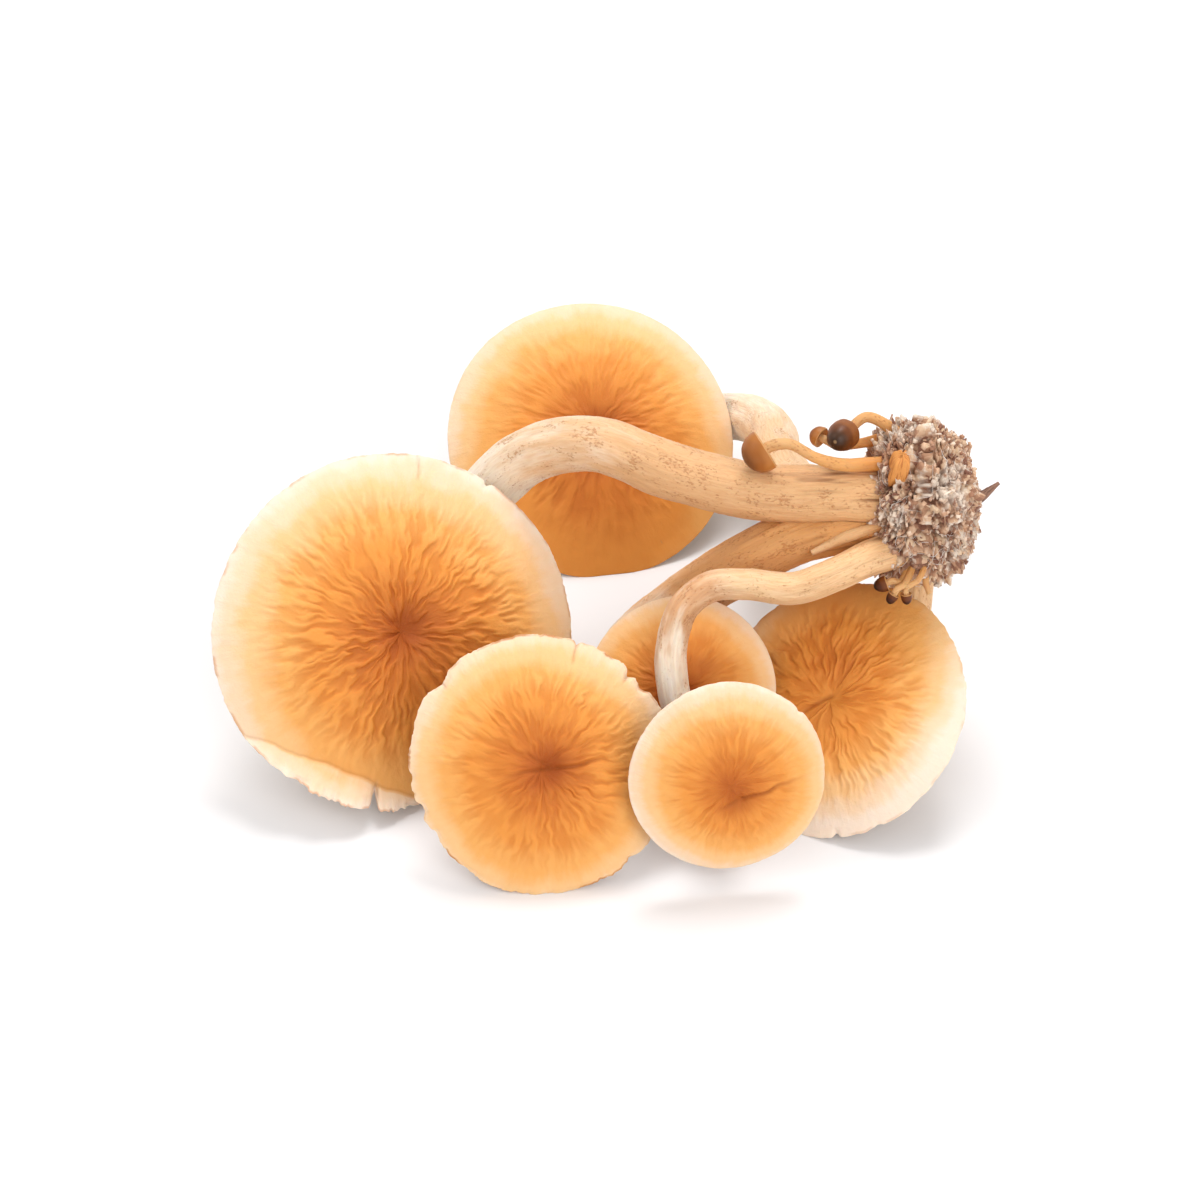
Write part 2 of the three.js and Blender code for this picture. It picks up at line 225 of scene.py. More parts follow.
# What marks each cap. Bearings are degrees counter-clockwise from the right, facing the crown.
# nicks are (bearing, width, depth as a share of the radius), cracks are (bearing, where it starts, depth),
# creases are (bearing, length, depth), and the shade entry is (bearing, amount) of the side painted browner
# as painted shade, on the right cap painted shadow under the clump. lightest is how far up the ramp of tones
# the pit starts.
CAPS = {
    "cap_left": dict(
        seed=11, columns=520, rows=132, pit=(0.05, 0.0), frill=0.007, wrinkle=0.32, flap=(238, 0.8),
        nicks=[(46, 0.7, 0.025), (224, 2, 0.02), (250.5, 0.8, 0.12), (263, 2, 0.03), (270, 2.5, 0.055)],
        cracks=[(70, 0.84, 0.28)], creases=[],
        dark=0.03, painted_shade=(280, 0.26), pit_tone=0.9, edge=0.6, lightest=0.0),
    "cap_back": dict(
        seed=23, columns=340, rows=86, pit=(0.06, 0.02), frill=0.003, wrinkle=0.2, flap=None,
        nicks=[], cracks=[], creases=[],
        dark=0.14, painted_shade=(268, 0.5), pit_tone=0.6, edge=0.1, lightest=0.0),
    "cap_front": dict(
        seed=37, columns=460, rows=116, pit=(0.08, -0.01), frill=0.017, wrinkle=0.25, flap=None,
        nicks=[(138, 3.2, 0.05), (71, 0.8, 0.03), (43, 1.6, 0.06), (35, 3, 0.05), (198, 2.2, 0.035),
               (110, 5, 0.015), (165, 4, 0.02), (183, 2, 0.02), (212, 2.5, 0.022), (232, 5, 0.02),
               (258, 3, 0.015), (285, 6, 0.02), (310, 3, 0.02)],
        cracks=[(71, 0.8, 0.34), (43, 0.86, 0.4), (138, 0.88, 0.3)],
        creases=[(8, 0.5, 0.55), (186, 0.45, 0.4), (150, 0.4, 0.3)],
        dark=0.15, painted_shade=(262, 0.12), pit_tone=1.0, edge=1.0, lightest=0.0),
    "cap_small": dict(
        seed=41, columns=360, rows=90, pit=(0.09, -0.17), frill=0.006, wrinkle=0.18, flap=None,
        nicks=[(42, 1.2, 0.02), (56, 9, 0.012), (118, 12, 0.012)], cracks=[],
        creases=[(14, 0.8, 0.6), (205, 0.3, 0.35)],
        dark=0.06, painted_shade=(330, 0.14), pit_tone=0.5, edge=0.1, lightest=0.0),
    "cap_middle": dict(
        seed=53, columns=280, rows=70, pit=(0.0, 0.0), frill=0.003, wrinkle=0.2, flap=None,
        nicks=[], cracks=[], creases=[],
        dark=0.2, painted_shade=(225, 0.3), pit_tone=0.5, edge=0.1, lightest=0.0),
    "cap_right": dict(
        seed=67, columns=440, rows=110, pit=(0.0, 0.05), frill=0.011, wrinkle=0.33, flap=None,
        nicks=[(299, 1.0, 0.035), (318, 1.5, 0.02), (340, 2.5, 0.012), (12, 2, 0.012)], cracks=[],
        creases=[(236, 0.42, 0.5)],
        dark=-0.2, painted_shade=(108, 0.46), pit_tone=0.0, edge=0.3, lightest=0.3),
}
EDGE_THICK = 0.5
EDGE_ROWS = 5


def wrinkles(x, y, out, step, seed):
    """Radial, wavy, branching folds: 0 in the valleys and 1 on the ridges, on a grid of rows outward."""
    rows, columns = x.shape
    fine = smear(noise(x / 0.5, y / 0.5, 0.5, seed), 0.85 / step)
    broad = smear(noise(x / 1.0, y / 1.0, 0.5, seed + 5), 1.2 / step)
    drawn = fine / fine.std() + 0.5 * broad / broad.std()
    sway = 0.7 * noise(x / 3.6, y / 3.6, 0.5, seed + 9) + 0.45 * noise(x / 1.3, y / 1.3, 0.5, seed + 13)
    turn = np.arange(columns)[None, :] + sway / np.maximum(out, 2.5) * columns / TAU
    low = np.floor(turn).astype(int)
    t = turn - low
    row = np.arange(rows)[:, None]
    drawn = drawn[row, low % columns] * (1 - t) + drawn[row, (low + 1) % columns] * t
    return 0.5 + 0.5 * np.tanh(1.25 * drawn / drawn.std())


def crown_surface(cap, marks, columns, rows):
    """The upper skin of a cap in its own frame, from the pit and round the rim's edge."""
    radius, seed = cap.radius, marks["seed"]
    angle = np.arange(columns) / columns * TAU
    share = np.concatenate([np.linspace(0.004, RIM_FROM, rows - RIM_ROWS),
                            RIM_FROM + (1 - RIM_FROM) * np.sin(np.linspace(0.1, 1, RIM_ROWS) * math.pi / 2)])
    smooth_rim = cap.outline(angle) * (1 - RIM_INSET)
    rim_x, rim_y = np.cos(angle) * radius, np.sin(angle) * radius
    rim = smooth_rim * (1 - marks["frill"] * (0.6 + layered(rim_x / 1.6, rim_y / 1.6, 3.5, seed + 3, 3)))
    rim = rim * (1 - 0.9 * marks["frill"] * np.abs(noise(rim_x / 0.75, rim_y / 0.75, 1.5, seed + 4)))
    if marks["flap"]:
        torn = bump_at(angle, marks["flap"][0] + 6,
                       26) * np.abs(layered(rim_x / 1.4, rim_y / 1.4, 7.5, seed + 6, 3))
        rim = rim * (1 - 0.07 * torn)
    out = share[:, None] * (smooth_rim + (rim - smooth_rim) * ease(0.88, 1, share)[:, None])
    for bearing, width, depth in marks["nicks"]:
        inward = depth * bump_at(angle, bearing, width) ** 0.5
        out = out * (1 - inward[None, :] * ease(0.98 - 1.65 * depth, 1, share)[:, None])
    reach = np.repeat(share[:, None], columns, 1)
    x, y = out * np.cos(angle), out * np.sin(angle)

    px, py = marks["pit"][0] * radius, marks["pit"][1] * radius
    from_pit = np.hypot(x - px, y - py) / radius
    height = CROWN * radius * (1 - reach ** 2.3)
    height -= 0.030 * radius * np.exp(-((from_pit / 0.09) ** 2))
    height -= 0.020 * radius * np.exp(-((from_pit / 0.28) ** 2))
    swell = layered(x / 11, y / 11, 0.5, seed + 31, 2)
    height += 0.5 * swell * ease(0.1, 0.4, reach) * (1 - ease(0.88, 1, reach))
    folds = wrinkles(x - px, y - py, out, radius / rows, seed)
    patchy = 0.7 + 0.3 * noise(x / 7, y / 7, 0.5, seed + 41)
    strength = ease(0.01, 0.1, from_pit) * (1 - ease(0.55, 0.9, reach)) * patchy
    height += 1.75 * marks["wrinkle"] * (folds - 0.5) * strength
    grains = layered(x / 0.8, y / 0.8, 0.5, seed + 51, 2)
    height += 0.08 * grains * ease(0.35, 0.6, reach) * (1 - ease(0.9, 1, reach))
    crease = np.zeros_like(height)
    for bearing, length, depth in marks["creases"]:
        b = math.radians(bearing)
        along = (x - px) * math.cos(b) + (y - py) * math.sin(b)
        wander = 0.5 * noise(along / 2.2, 0.5, 0.5, seed + 61)
        across = -(x - px) * math.sin(b) + (y - py) * math.cos(b) + wander
        fade = ease(-0.02, 0.04, along / radius) * (1 - ease(0.3 * length, length, along / radius))
        crease += fade * np.exp(-((across / 0.36) ** 2)) * depth
    for bearing, start, depth in marks["cracks"]:
        across = out * np.sin(angle - math.radians(bearing)) + 0.5 * noise(out / 1.6, 0.5, 0.5, seed + 91)
        facing = np.cos(angle - math.radians(bearing)) > 0
        crease += facing * ease(start, start + 0.05, reach) * np.exp(-((across / 0.2) ** 2)) * depth
    height -= 0.7 * crease
    margin = noise(rim_x / 9, rim_y / 9, 1.5, seed + 71)
    height += 0.35 * margin[None, :] * ease(0.7, 1, reach)

    roll = (np.arange(EDGE_ROWS) + 1)[:, None] / EDGE_ROWS * math.pi
    edge_out = out[-1] + 0.28 * EDGE_THICK * np.sin(roll)
    edge_height = height[-1] - 0.5 * EDGE_THICK * (1 - np.cos(roll))
    x = np.vstack([x, edge_out * np.cos(angle)])
    y = np.vstack([y, edge_out * np.sin(angle)])
    height = np.vstack([height, edge_height])
    # The shaded side of the cap is painted browner: painted shade on the side away from the light, and
    # painted shadow under the clump on the right cap.
    painted_shade_at, painted_shade = math.radians(marks["painted_shade"][0]), marks["painted_shade"][1]
    side = (x * math.cos(painted_shade_at) + y * math.sin(painted_shade_at)) / radius
    fan = np.stack([np.cos(angle) + 0 * x, np.sin(angle) + 0 * x, np.hypot(x, y) / radius], -1)
    values = {"reach": reach, "relief": folds, "pit": np.exp(-((from_pit / 0.15) ** 2)), "crease": crease,
              "strength": strength}
    values = {k: np.vstack([v, np.repeat(v[-1:], EDGE_ROWS, 0)]) for k, v in values.items()}
    values["painted_shade"] = painted_shade * np.clip(0.15 + 0.85 * side, 0, 1) ** 1.3
    values["edge"] = np.vstack([ease(0.985, 1, reach), np.ones((EDGE_ROWS, columns))])
    return x, y, height, values, fan


def bend_margin(x, y, height, radius, bearing, fold):
    """Bends the margin beyond a chord towards the crown side, as where it is pressed on the table."""
    b = math.radians(bearing)
    along = x * math.cos(b) + y * math.sin(b)
    across = -x * math.sin(b) + y * math.cos(b)
    line = fold * radius + 0.5 * noise(across / 3.4, 0.5, 0.5, 5) + 0.18 * noise(across / 1.2, 0.5, 0.5, 7)
    past = np.maximum(along - line, 0)
    bend = math.radians(40)
    grown = past * 1.3
    shift = grown * math.cos(bend) - past
    lift = grown * math.sin(bend) * ease(0, 0.5, past)
    return x + shift * math.cos(b), y + shift * math.sin(b), height + lift, along - line


def gill_surface(cap, marks, rim_x, rim_y, rim_height, columns, rows, stem_radius):
    """The gilled underside of a cap, from the rim's edge to the stem."""
    radius = cap.radius
    angle = np.arange(columns) / columns * TAU
    t = np.linspace(0, 1, rows)[:, None]
    rim_at = np.linspace(0, TAU, len(rim_x) + 1)
    rim_out = np.hypot(rim_x, rim_y)
    rim_r = np.interp(angle, rim_at, np.append(rim_out, rim_out[0]))
    rim_h = np.interp(angle, rim_at, np.append(rim_height, rim_height[0]))
    out = rim_r[None, :] * (1 - t) + 0.75 * stem_radius * t
    share = out / rim_r[None, :]
    edge = -GILL_DEPTH * radius * (1 - share) ** 0.9
    flesh = edge + 0.105 * radius * ease(0, 0.12, t) * (1 - 0.5 * ease(0.75, 1, t))
    count = int(round(BLADE_PAIRS * radius)) * 2
    bend = 0.05 * noise(share * 2.5, np.cos(angle)[None, :] * 3, np.sin(angle)[None, :] * 3, marks["seed"]
                        + 81)
    blade = np.zeros(out.shape)
    for order, whole in ((1, 1.0), (2, 0.8 * ease(0.3, 0.45, share))):
        phase = (angle[None, :] + bend) * count * order / TAU
        thin = 0.3 * order ** 0.6
        ridge = np.clip(1 - np.abs(phase - np.round(phase)) / thin, 0, 1) ** 0.6
        blade = np.maximum(blade, ridge * whole)
    depth = ease(0, 0.1, t)
    height = flesh + (edge - flesh) * blade * depth
    height = height + rim_h[None, :] * (1 - ease(0, 0.25, t))
    return out * np.cos(angle), out * np.sin(angle), height, {"reach": share, "blade": blade * depth}


def build_cap(node, marks, material, gill_material, stem_radius):
    """The wrinkled skin and the gills of one cap, in place of its CAD solid."""
    cap = CapFrame(node)
    thin = 1
    columns, rows = marks["columns"] // thin, marks["rows"] // thin
    x, y, height, values, fan = crown_surface(cap, marks, columns, rows)
    rim = (x[-1], y[-1], height[-1])
    gill_columns = int(round(BLADE_PAIRS * cap.radius)) * (11 if thin == 1 else 6)
    gill_rows = 15
    gx, gy, gh, gill_values = gill_surface(cap, marks, *rim, gill_columns, gill_rows, stem_radius)
    if marks["flap"]:
        x, y, height, past = bend_margin(x, y, height, cap.radius, *marks["flap"])
        gx, gy, gh, _ = bend_margin(gx, gy, gh, cap.radius, *marks["flap"])
        bare = ease(0, 0.7, past)
        values["reach"] = np.maximum(values["reach"], 0.86 * bare)
        values["strength"] = values["strength"] * (1 - bare)
        values["painted_shade"] = values["painted_shade"] * (1 - bare)
        # Painted shade along the flap's fold line.
        values["crease"] = values["crease"] + 0.2 * np.exp(-((past / 0.22) ** 2)) * (values["reach"] > 0.5)
    total = rows + EDGE_ROWS
    points = cap.place(x, y, height)
    pole = cap.place(x[0].mean(), y[0].mean(), height[0].mean())
    tip = len(points)
    tris = [(tip, c, (c + 1) % columns) for c in range(columns)]
    values = {k: np.append(np.ravel(v), np.ravel(v)[:columns].mean()) for k, v in values.items()}
    values["fan"] = np.vstack([fan.reshape(-1, 3), [[0, 0, 0]]])
    points = np.vstack([points, pole])
    points[:, 2] = np.maximum(points[:, 2], 0.02)
    make_piece(f"{node}_skin", points, grid_faces(total, columns)[:, ::-1], np.array(tris), values, (node,),
               material)

    gill_points = cap.place(gx, gy, gh)
    gill_points[:, 2] = np.maximum(gill_points[:, 2], 0.04)
    make_piece(f"{node}_gills", gill_points, grid_faces(gill_rows, gill_columns)[:, ::-1], None,
               {k: np.ravel(v) for k, v in gill_values.items()}, (), gill_material)
    return cap


# ---------------------------------------------------------------- stems
def spline(route, samples):
    """Evenly spaced points on a centripetal Catmull-Rom curve through a route, and its directions."""
    route = np.asarray(route, float)
    knots = np.vstack([2 * route[0] - route[1], route, 2 * route[-1] - route[-2]])
    dense = []
    for i in range(1, len(knots) - 2):
        a, b, c, d = knots[i - 1:i + 3]
        ta = 0.0
        tb = ta + np.linalg.norm(b - a) ** 0.5
        tc = tb + np.linalg.norm(c - b) ** 0.5
        td = tc + np.linalg.norm(d - c) ** 0.5
        t = np.linspace(tb, tc, 60, endpoint=False)[:, None]
        ab = (tb - t) / (tb - ta) * a + (t - ta) / (tb - ta) * b
        bc = (tc - t) / (tc - tb) * b + (t - tb) / (tc - tb) * c
        cd = (td - t) / (td - tc) * c + (t - tc) / (td - tc) * d
        left = (tc - t) / (tc - ta) * ab + (t - ta) / (tc - ta) * bc
        right = (td - t) / (td - tb) * bc + (t - tb) / (td - tb) * cd
        dense.append((tc - t) / (tc - tb) * left + (t - tb) / (tc - tb) * right)
    dense = np.vstack(dense + [route[-1:]])
    run = np.concatenate([[0], np.cumsum(np.linalg.norm(np.diff(dense, axis=0), axis=1))])
    at = np.linspace(0, run[-1], samples)
    points = np.stack([np.interp(at, run, dense[:, k]) for k in range(3)], 1)
    slopes = np.gradient(points, axis=0)
    return points, slopes / np.linalg.norm(slopes, axis=1)[:, None], at


def carried_frames(slopes):
    """Two directions across a curve at each point, turned as little as possible from one to the next."""
    side = np.cross(slopes[0], [0, 0, 1])
    if np.linalg.norm(side) < 0.1:
        side = np.cross(slopes[0], [0, 1, 0])
    sides = []
    for slope in slopes:
        side = side - slope * (side @ slope)
        side = side / np.linalg.norm(side)
        sides.append(side)
    sides = np.array(sides)
    return sides, np.cross(slopes, sides)


def build_stem(name, route, radii, material, covers, seed, around=96, step=0.5, ridge=0.11, lump=0.05,
               flare=(0.0, 0.0)):
    """A fibrous stem along a route from the clump to a cap."""
    thin = 1
    length = spline(route, 50)[2][-1]
    rows = max(12, int(length / step / thin))
    around = around // thin
    centres, slopes, run = spline(route, rows)
    sides, ups = carried_frames(slopes)
    share = run / run[-1]
    radius = np.interp(share, np.linspace(0, 1, len(radii)), radii)
    radius = smear(radius[:, None], rows * 0.06)[:, 0]
    radius = radius * (1 + flare[0] * np.exp(-(share * length / 13) ** 2)
                       + flare[1] * np.exp(-(((1 - share) * length) / 2.2) ** 2))
    angle = np.arange(around) / around * TAU
    cx, cy = np.cos(angle)[None, :], np.sin(angle)[None, :]
    s = run[:, None]
    r = radius[:, None]
    swell = layered(cx * r / 3.2, cy * r / 3.2, s / 7, seed, 2)
    grooves = layered(cx * r / 0.9 + 0.3 * swell, cy * r / 0.9, s / 9, seed + 7, 3)
    fibres = noise(cx * r / 0.33, cy * r / 0.33, s / 4.5, seed + 19)
    scurf = np.clip(noise(cx * r / 0.55, cy * r / 0.55, s / 0.7, seed + 29) - 0.35, 0, 1)
    gathered = 1 + 9 * flare[0] * np.exp(-(s / 15) ** 2)
    cords = layered(cx * r / 2.2, cy * r / 2.2, s / 22, seed + 37, 2)
    rim = r * (1 + lump * swell) + ridge * (grooves + 0.35 * fibres) * np.minimum(1, r / 2.5) * gathered
    rim = rim + 0.12 * scurf + 1.1 * flare[0] * cords * gathered
    points = (centres[:, None, :] + sides[:, None, :] * (rim * cx)[..., None]
              + ups[:, None, :] * (rim * cy)[..., None])
    points = points.reshape(-1, 3)
    points[:, 2] = np.maximum(points[:, 2], 0.05)
    ends = np.stack([centres[0], centres[-1]])
    grain = np.stack(np.broadcast_arrays(cx * r, cy * r, s), -1).reshape(-1, 3)
    grain = np.vstack([grain, grain[0], grain[-1]])
    values = {"grain": grain, "along": np.append(np.repeat(share, around), [0, 1]),
              "groove": np.append(np.ravel(grooves + 0.4 * fibres), [0, 0])}
    return make_piece(name, np.vstack([points, ends]), grid_faces(rows, around), end_fans(rows, around),
                      values,
                      covers, material)


# Each stem's route from inside the clump towards its cap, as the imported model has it, and its
# radius at the foot, the middle and the cap. tone says how tan its lower part is, and band is a
# browner stretch: the share of the way along, how far it spreads, and how strong it is.
STEMS = {
    "stem_left": dict(cap="cap_left", band=(0.33, 0.32, 0.4), foot=0.1,
        radii=(4.5, 4.7, 4.7, 4.6, 4.3), seed=101, tone=0.4, route=[
        (52, 5, 43), (42.8, 2.7, 45.3), (32.7, 3.4, 44.6), (24.3, 4.7, 44.6), (11.5, 7.9, 46.2),
        (0, 13.8, 47),
        (-7, 17.3, 44), (-13, 19.8, 39.3), (-18.2, 20.4, 33.3), (-24.6, 18.6, 25.6)]),
    "stem_front": dict(cap="cap_front", band=(0.38, 0.36, 0.5), foot=0.38,
        radii=(4.6, 4.7, 4.6, 4.4, 4.2), seed=113, tone=1.5, route=[
        (52, 6, 38), (43.7, 3.5, 39.6), (35.5, 2.4, 38.2), (27.2, 1.4, 34.4), (20.5, 3.4, 27.4),
        (14, 5, 20.5),
        (6, 1, 15), (0.6, -7.5, 10.8)]),
    "stem_small": dict(cap="cap_small", band=(0.56, 0.15, 0.8), foot=0.2,
        radii=(2.8, 2.6, 2.5, 2.6, 2.3), seed=127, tone=0.3, route=[
        (53, 1, 36.5), (44, -5.5, 38.6), (38.2, -9, 38.2), (31.3, -10.2, 36.1), (23.8, -9.8, 36.6),
        (17.8, -10.2, 36.4), (13.4, -12.9, 34.2), (11.6, -16, 29.4), (11.6, -19.4, 25), (12.8, -22.4, 20.8)]),
    "stem_middle": dict(cap="cap_middle", band=(0.5, 0.3, 0.3), foot=0.1,
        radii=(3, 3, 2.8), seed=131, tone=0.5, route=[
        (54, 9, 36), (44.6, 9, 34.6), (36, 8.6, 32.6), (26, 9.6, 26.4), (20, 11.4, 20), (17.4, 11.4, 13.4),
        (16, 6.4, 8.4)]),
    "stem_back": dict(cap="cap_back", band=(0.4, 0.3, 0.15), foot=0.1,
        radii=(4.2, 4.5, 4.4, 4.2), seed=139, tone=0.1, route=[
        (55, 12, 40), (45.4, 15.4, 37.4), (37.4, 20, 32.4), (33.4, 29, 26.8), (31.4, 40.4, 23.6),
        (31, 52, 19.6),
        (29.4, 60.5, 16.2), (24.6, 67.6, 12.6), (16, 71, 9)]),
    "stem_right": dict(cap="cap_right", band=(0.4, 0.3, 0.2), foot=0.1,
        radii=(3.4, 3.6, 3.6), seed=149, tone=0.4, route=[
        (55, 7, 36), (53, 7.5, 27), (52.5, 6.5, 17), (51, 2, 9.5)]),
}
STEM_LEAD = 7


def shifted(route):
    """A route moved into the model's frame."""
    return [np.array(p) + ORIGIN_SHIFT for p in route]


# Young mushrooms: cap width and height, the cap's foot, the way it points, its stem and its tone.
PINS = {
    "pin_acorn": dict(
        width=7, height=3, at=(26.6, 3.7, 53.6), points=(-0.82, -0.3, -0.42), thick=0.9, dark=0.3,
                      route=[(46, 3, 51.4), (39, 1.4, 52.4), (34.8, 2, 53.4), (30.6, 3.6, 54.9)]),
    "pin_dark": dict(
        width=5.2, height=3.6, at=(39.8, 7.4, 54), points=(-0.4, -0.85, 0.3), thick=0.9, dark=0.8,
                     route=[(52, 8.6, 49), (47, 9.6, 54), (43.4, 10.2, 55.4)]),
    "pin_pale": dict(
        width=3.6, height=1.6, at=(36.1, 8.4, 52.6), points=(-0.75, 0.6, 0.1), thick=0.7, dark=0.4,
                     route=[(46, 9.4, 51.4), (39.4, 8.8, 50.6)]),
    "pin_low_a": dict(
        width=2.6, height=1.7, at=(46.6, -7.9, 35.2), points=(-0.85, -0.1, -0.3), thick=0.6, dark=1.1,
                      route=[(51.5, -2.4, 37), (49, -7.2, 34.9)]),
    "pin_low_b": dict(
        width=1.9, height=1.4, at=(47.8, -9.3, 33.9), points=(-0.5, -0.3, -0.85), thick=0.5, dark=1.2,
                      route=[(52, -2, 36.6), (49.6, -8.4, 35.4)]),
    "pin_low_c": dict(
        width=1.9, height=1.4, at=(49.9, -9, 33.7), points=(0.1, -0.3, -0.95), thick=0.5, dark=1.2,
                      route=[(54, -1.6, 37), (51.8, -7.8, 35.8)]),
    "pin_aborted": dict(
        width=2.6, height=1.4, at=(41, -5.4, 34.8), points=(-0.6, -0.5, -0.6), thick=0.7, dark=1.15,
                        route=[(48, 0.4, 37), (43.6, -4, 35.4)]),
}


def build_pin(name, pin, cap_material, stem_material, seed):
    """A young mushroom: a closed round cap with a rolled edge, and its thin stem."""
    axis = np.array(pin["points"], float)
    axis /= np.linalg.norm(axis)
    foot = np.array(pin["at"]) + ORIGIN_SHIFT
    half, tall = 0.5 * pin["width"], pin["height"]
    turn = np.linspace(0, 1, 26)
    dome = [(half * math.sin(0.5 * math.pi * t),
             1.25 * tall * math.cos(0.5 * math.pi * t) ** 0.9) for t in turn[1:]]
    under = [(1.0 * half, -0.05 * tall), (0.96 * half, -0.11 * tall), (0.88 * half, -0.12 * tall),
             (0.76 * half, -0.05 * tall), (0.5 * half, 0.06 * tall), (0.2 * half, 0.06 * tall)]
    profile = dome + under
    columns, rows = 48, len(profile)
    angle = np.arange(columns) / columns * TAU
    side = np.cross(axis, [0.2, 0.1, 1])
    side /= np.linalg.norm(side)
    up = np.cross(axis, side)
    out = np.array([p[0] for p in profile])[:, None]
    high = np.array([p[1] for p in profile])[:, None]
    wob = layered(np.cos(angle)[None, :] * out / half, np.sin(angle)[None, :] * out / half, high / half,
                  seed, 3)
    out = out * (1 - 0.06 * np.abs(wob))
    high = np.broadcast_to(high, out.shape) - 0.05 * tall * np.abs(wob) * (high > 0)
    points = (foot + side * (out * np.cos(angle))[..., None] + up * (out * np.sin(angle))[..., None]
              + axis * high[..., None])
    reach = np.repeat(np.array([p[0] for p in profile])[:, None] / half, columns, 1)
    below = np.repeat((np.arange(rows) >= len(dome)).astype(float)[:, None], columns, 1)
    points = np.vstack([points.reshape(-1, 3), foot + axis * 1.25 * tall, foot + axis * 0.08 * tall])
    tip, last = rows * columns, (rows - 1) * columns
    tris = [(tip, c, (c + 1) % columns) for c in range(columns)]
    tris += [(tip + 1, last + (c + 1) % columns, last + c) for c in range(columns)]
    values = {"reach": np.append(reach.ravel(), [0, 0.1]), "below": np.append(below.ravel(), [0, 1])}
    make_piece(f"{name}_young_cap", points, grid_faces(rows, columns)[:, ::-1], np.array(tris), values,
               (f"{name}_cap",), cap_material)
    route = shifted(pin["route"]) + [foot - axis * 1.1, foot + axis * 0.1 * tall]
    build_stem(f"{name}_young_stem", route, [1.35 * pin["thick"], pin["thick"], pin["thick"]], stem_material,
               (f"{name}_stem",), seed + 3, around=24, step=0.3, ridge=0.09, lump=0.2)


# ---------------------------------------------------------------- clump
def ball(columns, rows):
    """Directions over a sphere on a grid, without its two poles."""
    polar = np.linspace(0, math.pi, rows + 2)[1:-1][:, None]
    angle = (np.arange(columns) / columns * TAU)[None, :]
    return np.sin(polar) * np.cos(angle), np.sin(polar) * np.sin(angle), np.cos(polar) * np.ones_like(angle)


def build_clump(material, crumb_material):
    """The lump of sawdust and mycelium, with crumbs, flakes and fibres standing out of it."""
    low, high = (np.array(v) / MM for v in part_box("substrate_clump"))
    centre = 0.5 * (low + high)
    half = 0.5 * (high - low)
    columns, rows = ((280, 190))
    dx, dy, dz = ball(columns, rows)
    lumps = layered(dx * 2.4, dy * 2.4, dz * 2.4, 201, 2)
    crumbs = np.abs(layered(dx * 7, dy * 7, dz * 7, 207, 3))
    gravel = layered(dx * 17, dy * 17, dz * 17, 211, 2)
    grit = layered(dx * 38, dy * 38, dz * 38, 219, 2)
    size = 0.93 + 0.17 * lumps - 0.2 * (0.4 - crumbs) + 0.1 * gravel + 0.02 * grit
    size = np.minimum(size, 1.08)
    wide = np.where(dx < 0, -np.sqrt(np.abs(dx)), dx)
    slant = 0.16 * dz * half[0]
    x = centre[0] + wide * half[0] * size * 0.97 - slant * (dx > 0) * np.abs(dx)
    y = centre[1] + dy * half[1] * size * 0.97
    z = centre[2] + dz * half[2] * size * 0.97
    points = np.stack([x, y, z], -1).reshape(-1, 3)
    tops = [points[:columns].mean(0), points[-columns:].mean(0)]
    # How deep each spot lies among the crumbs, for the painted shade in the hollows.
    hollow_shade = np.clip(0.5 + 1.4 * (0.35 - crumbs) - 0.5 * gravel, 0, 1)
    values = {"hollow_shade": np.append(hollow_shade.ravel(), [0.5, 0.5])}
    make_piece("clump_core", np.vstack([points, tops]), grid_faces(rows, columns), end_fans(rows, columns),
               values,
               ("substrate_clump",), material)

    rng = np.random.default_rng(31)
    grid = points.reshape(rows, columns, 3)
    normal = np.cross(np.roll(grid, -1, 1) - np.roll(grid, 1, 1), np.gradient(grid, axis=0))
    normal = smear(normal, 3)
    normal /= np.linalg.norm(normal, axis=2)[..., None] + 1e-9
    outward = np.sign(((grid - centre) * normal).sum(-1))[..., None]
    normal = normal * outward
    all_points, all_quads, tones = [], [], []
    box_corners = np.array([(a, b, c) for a in (-1, 1) for b in (-1, 1) for c in (-1, 1)], float)
    box_quads = np.array([(0, 1, 3, 2), (4, 6, 7, 5), (0, 4, 5, 1), (2, 3, 7, 6), (0, 2, 6, 4), (1, 5, 7, 3)])
    polar = (np.arange(rows) + 1) / (rows + 1) * math.pi
    weight = np.sin(polar) / np.sin(polar).sum()
    for _ in range(1300):
        r = rng.choice(rows, p=weight)
        c = rng.integers(columns)
        at, out = grid[r, c], normal[r, c]
        long = rng.uniform(0.25, 0.8) if rng.random() < 0.92 else rng.uniform(1.0, 2.2)
        flat = rng.uniform(0.15, 0.4) if long > 1.0 else rng.uniform(0.28, 0.6)
        along = np.cross(out, rng.normal(size=3))
        along = along / np.linalg.norm(along) + out * rng.uniform(-0.12, 0.14)
        along /= np.linalg.norm(along)
        broad = np.cross(along, out)
        broad /= np.linalg.norm(broad)
        thick = np.cross(broad, along)
        shape = box_corners * (1 + rng.uniform(-0.35, 0.35, (8, 3)))
        body = (along * shape[:, :1] * 0.5 * long + broad * shape[:, 1:2] * 0.5 * flat * 1.5
                + thick * shape[:, 2:] * 0.5 * flat)
        place = at + out * rng.uniform(-0.2, 0.08) + body
        place = np.clip(place, low - 0.3, high + 0.3)
        all_quads.append(box_quads + 8 * len(all_points))
        all_points.append(place)
        tones.append(np.full(8, rng.random()))
    make_piece("clump_crumbs", np.vstack(all_points), np.vstack(all_quads), None,
               {"tone": np.concatenate(tones)},
               (), crumb_material)
    return grid, normal


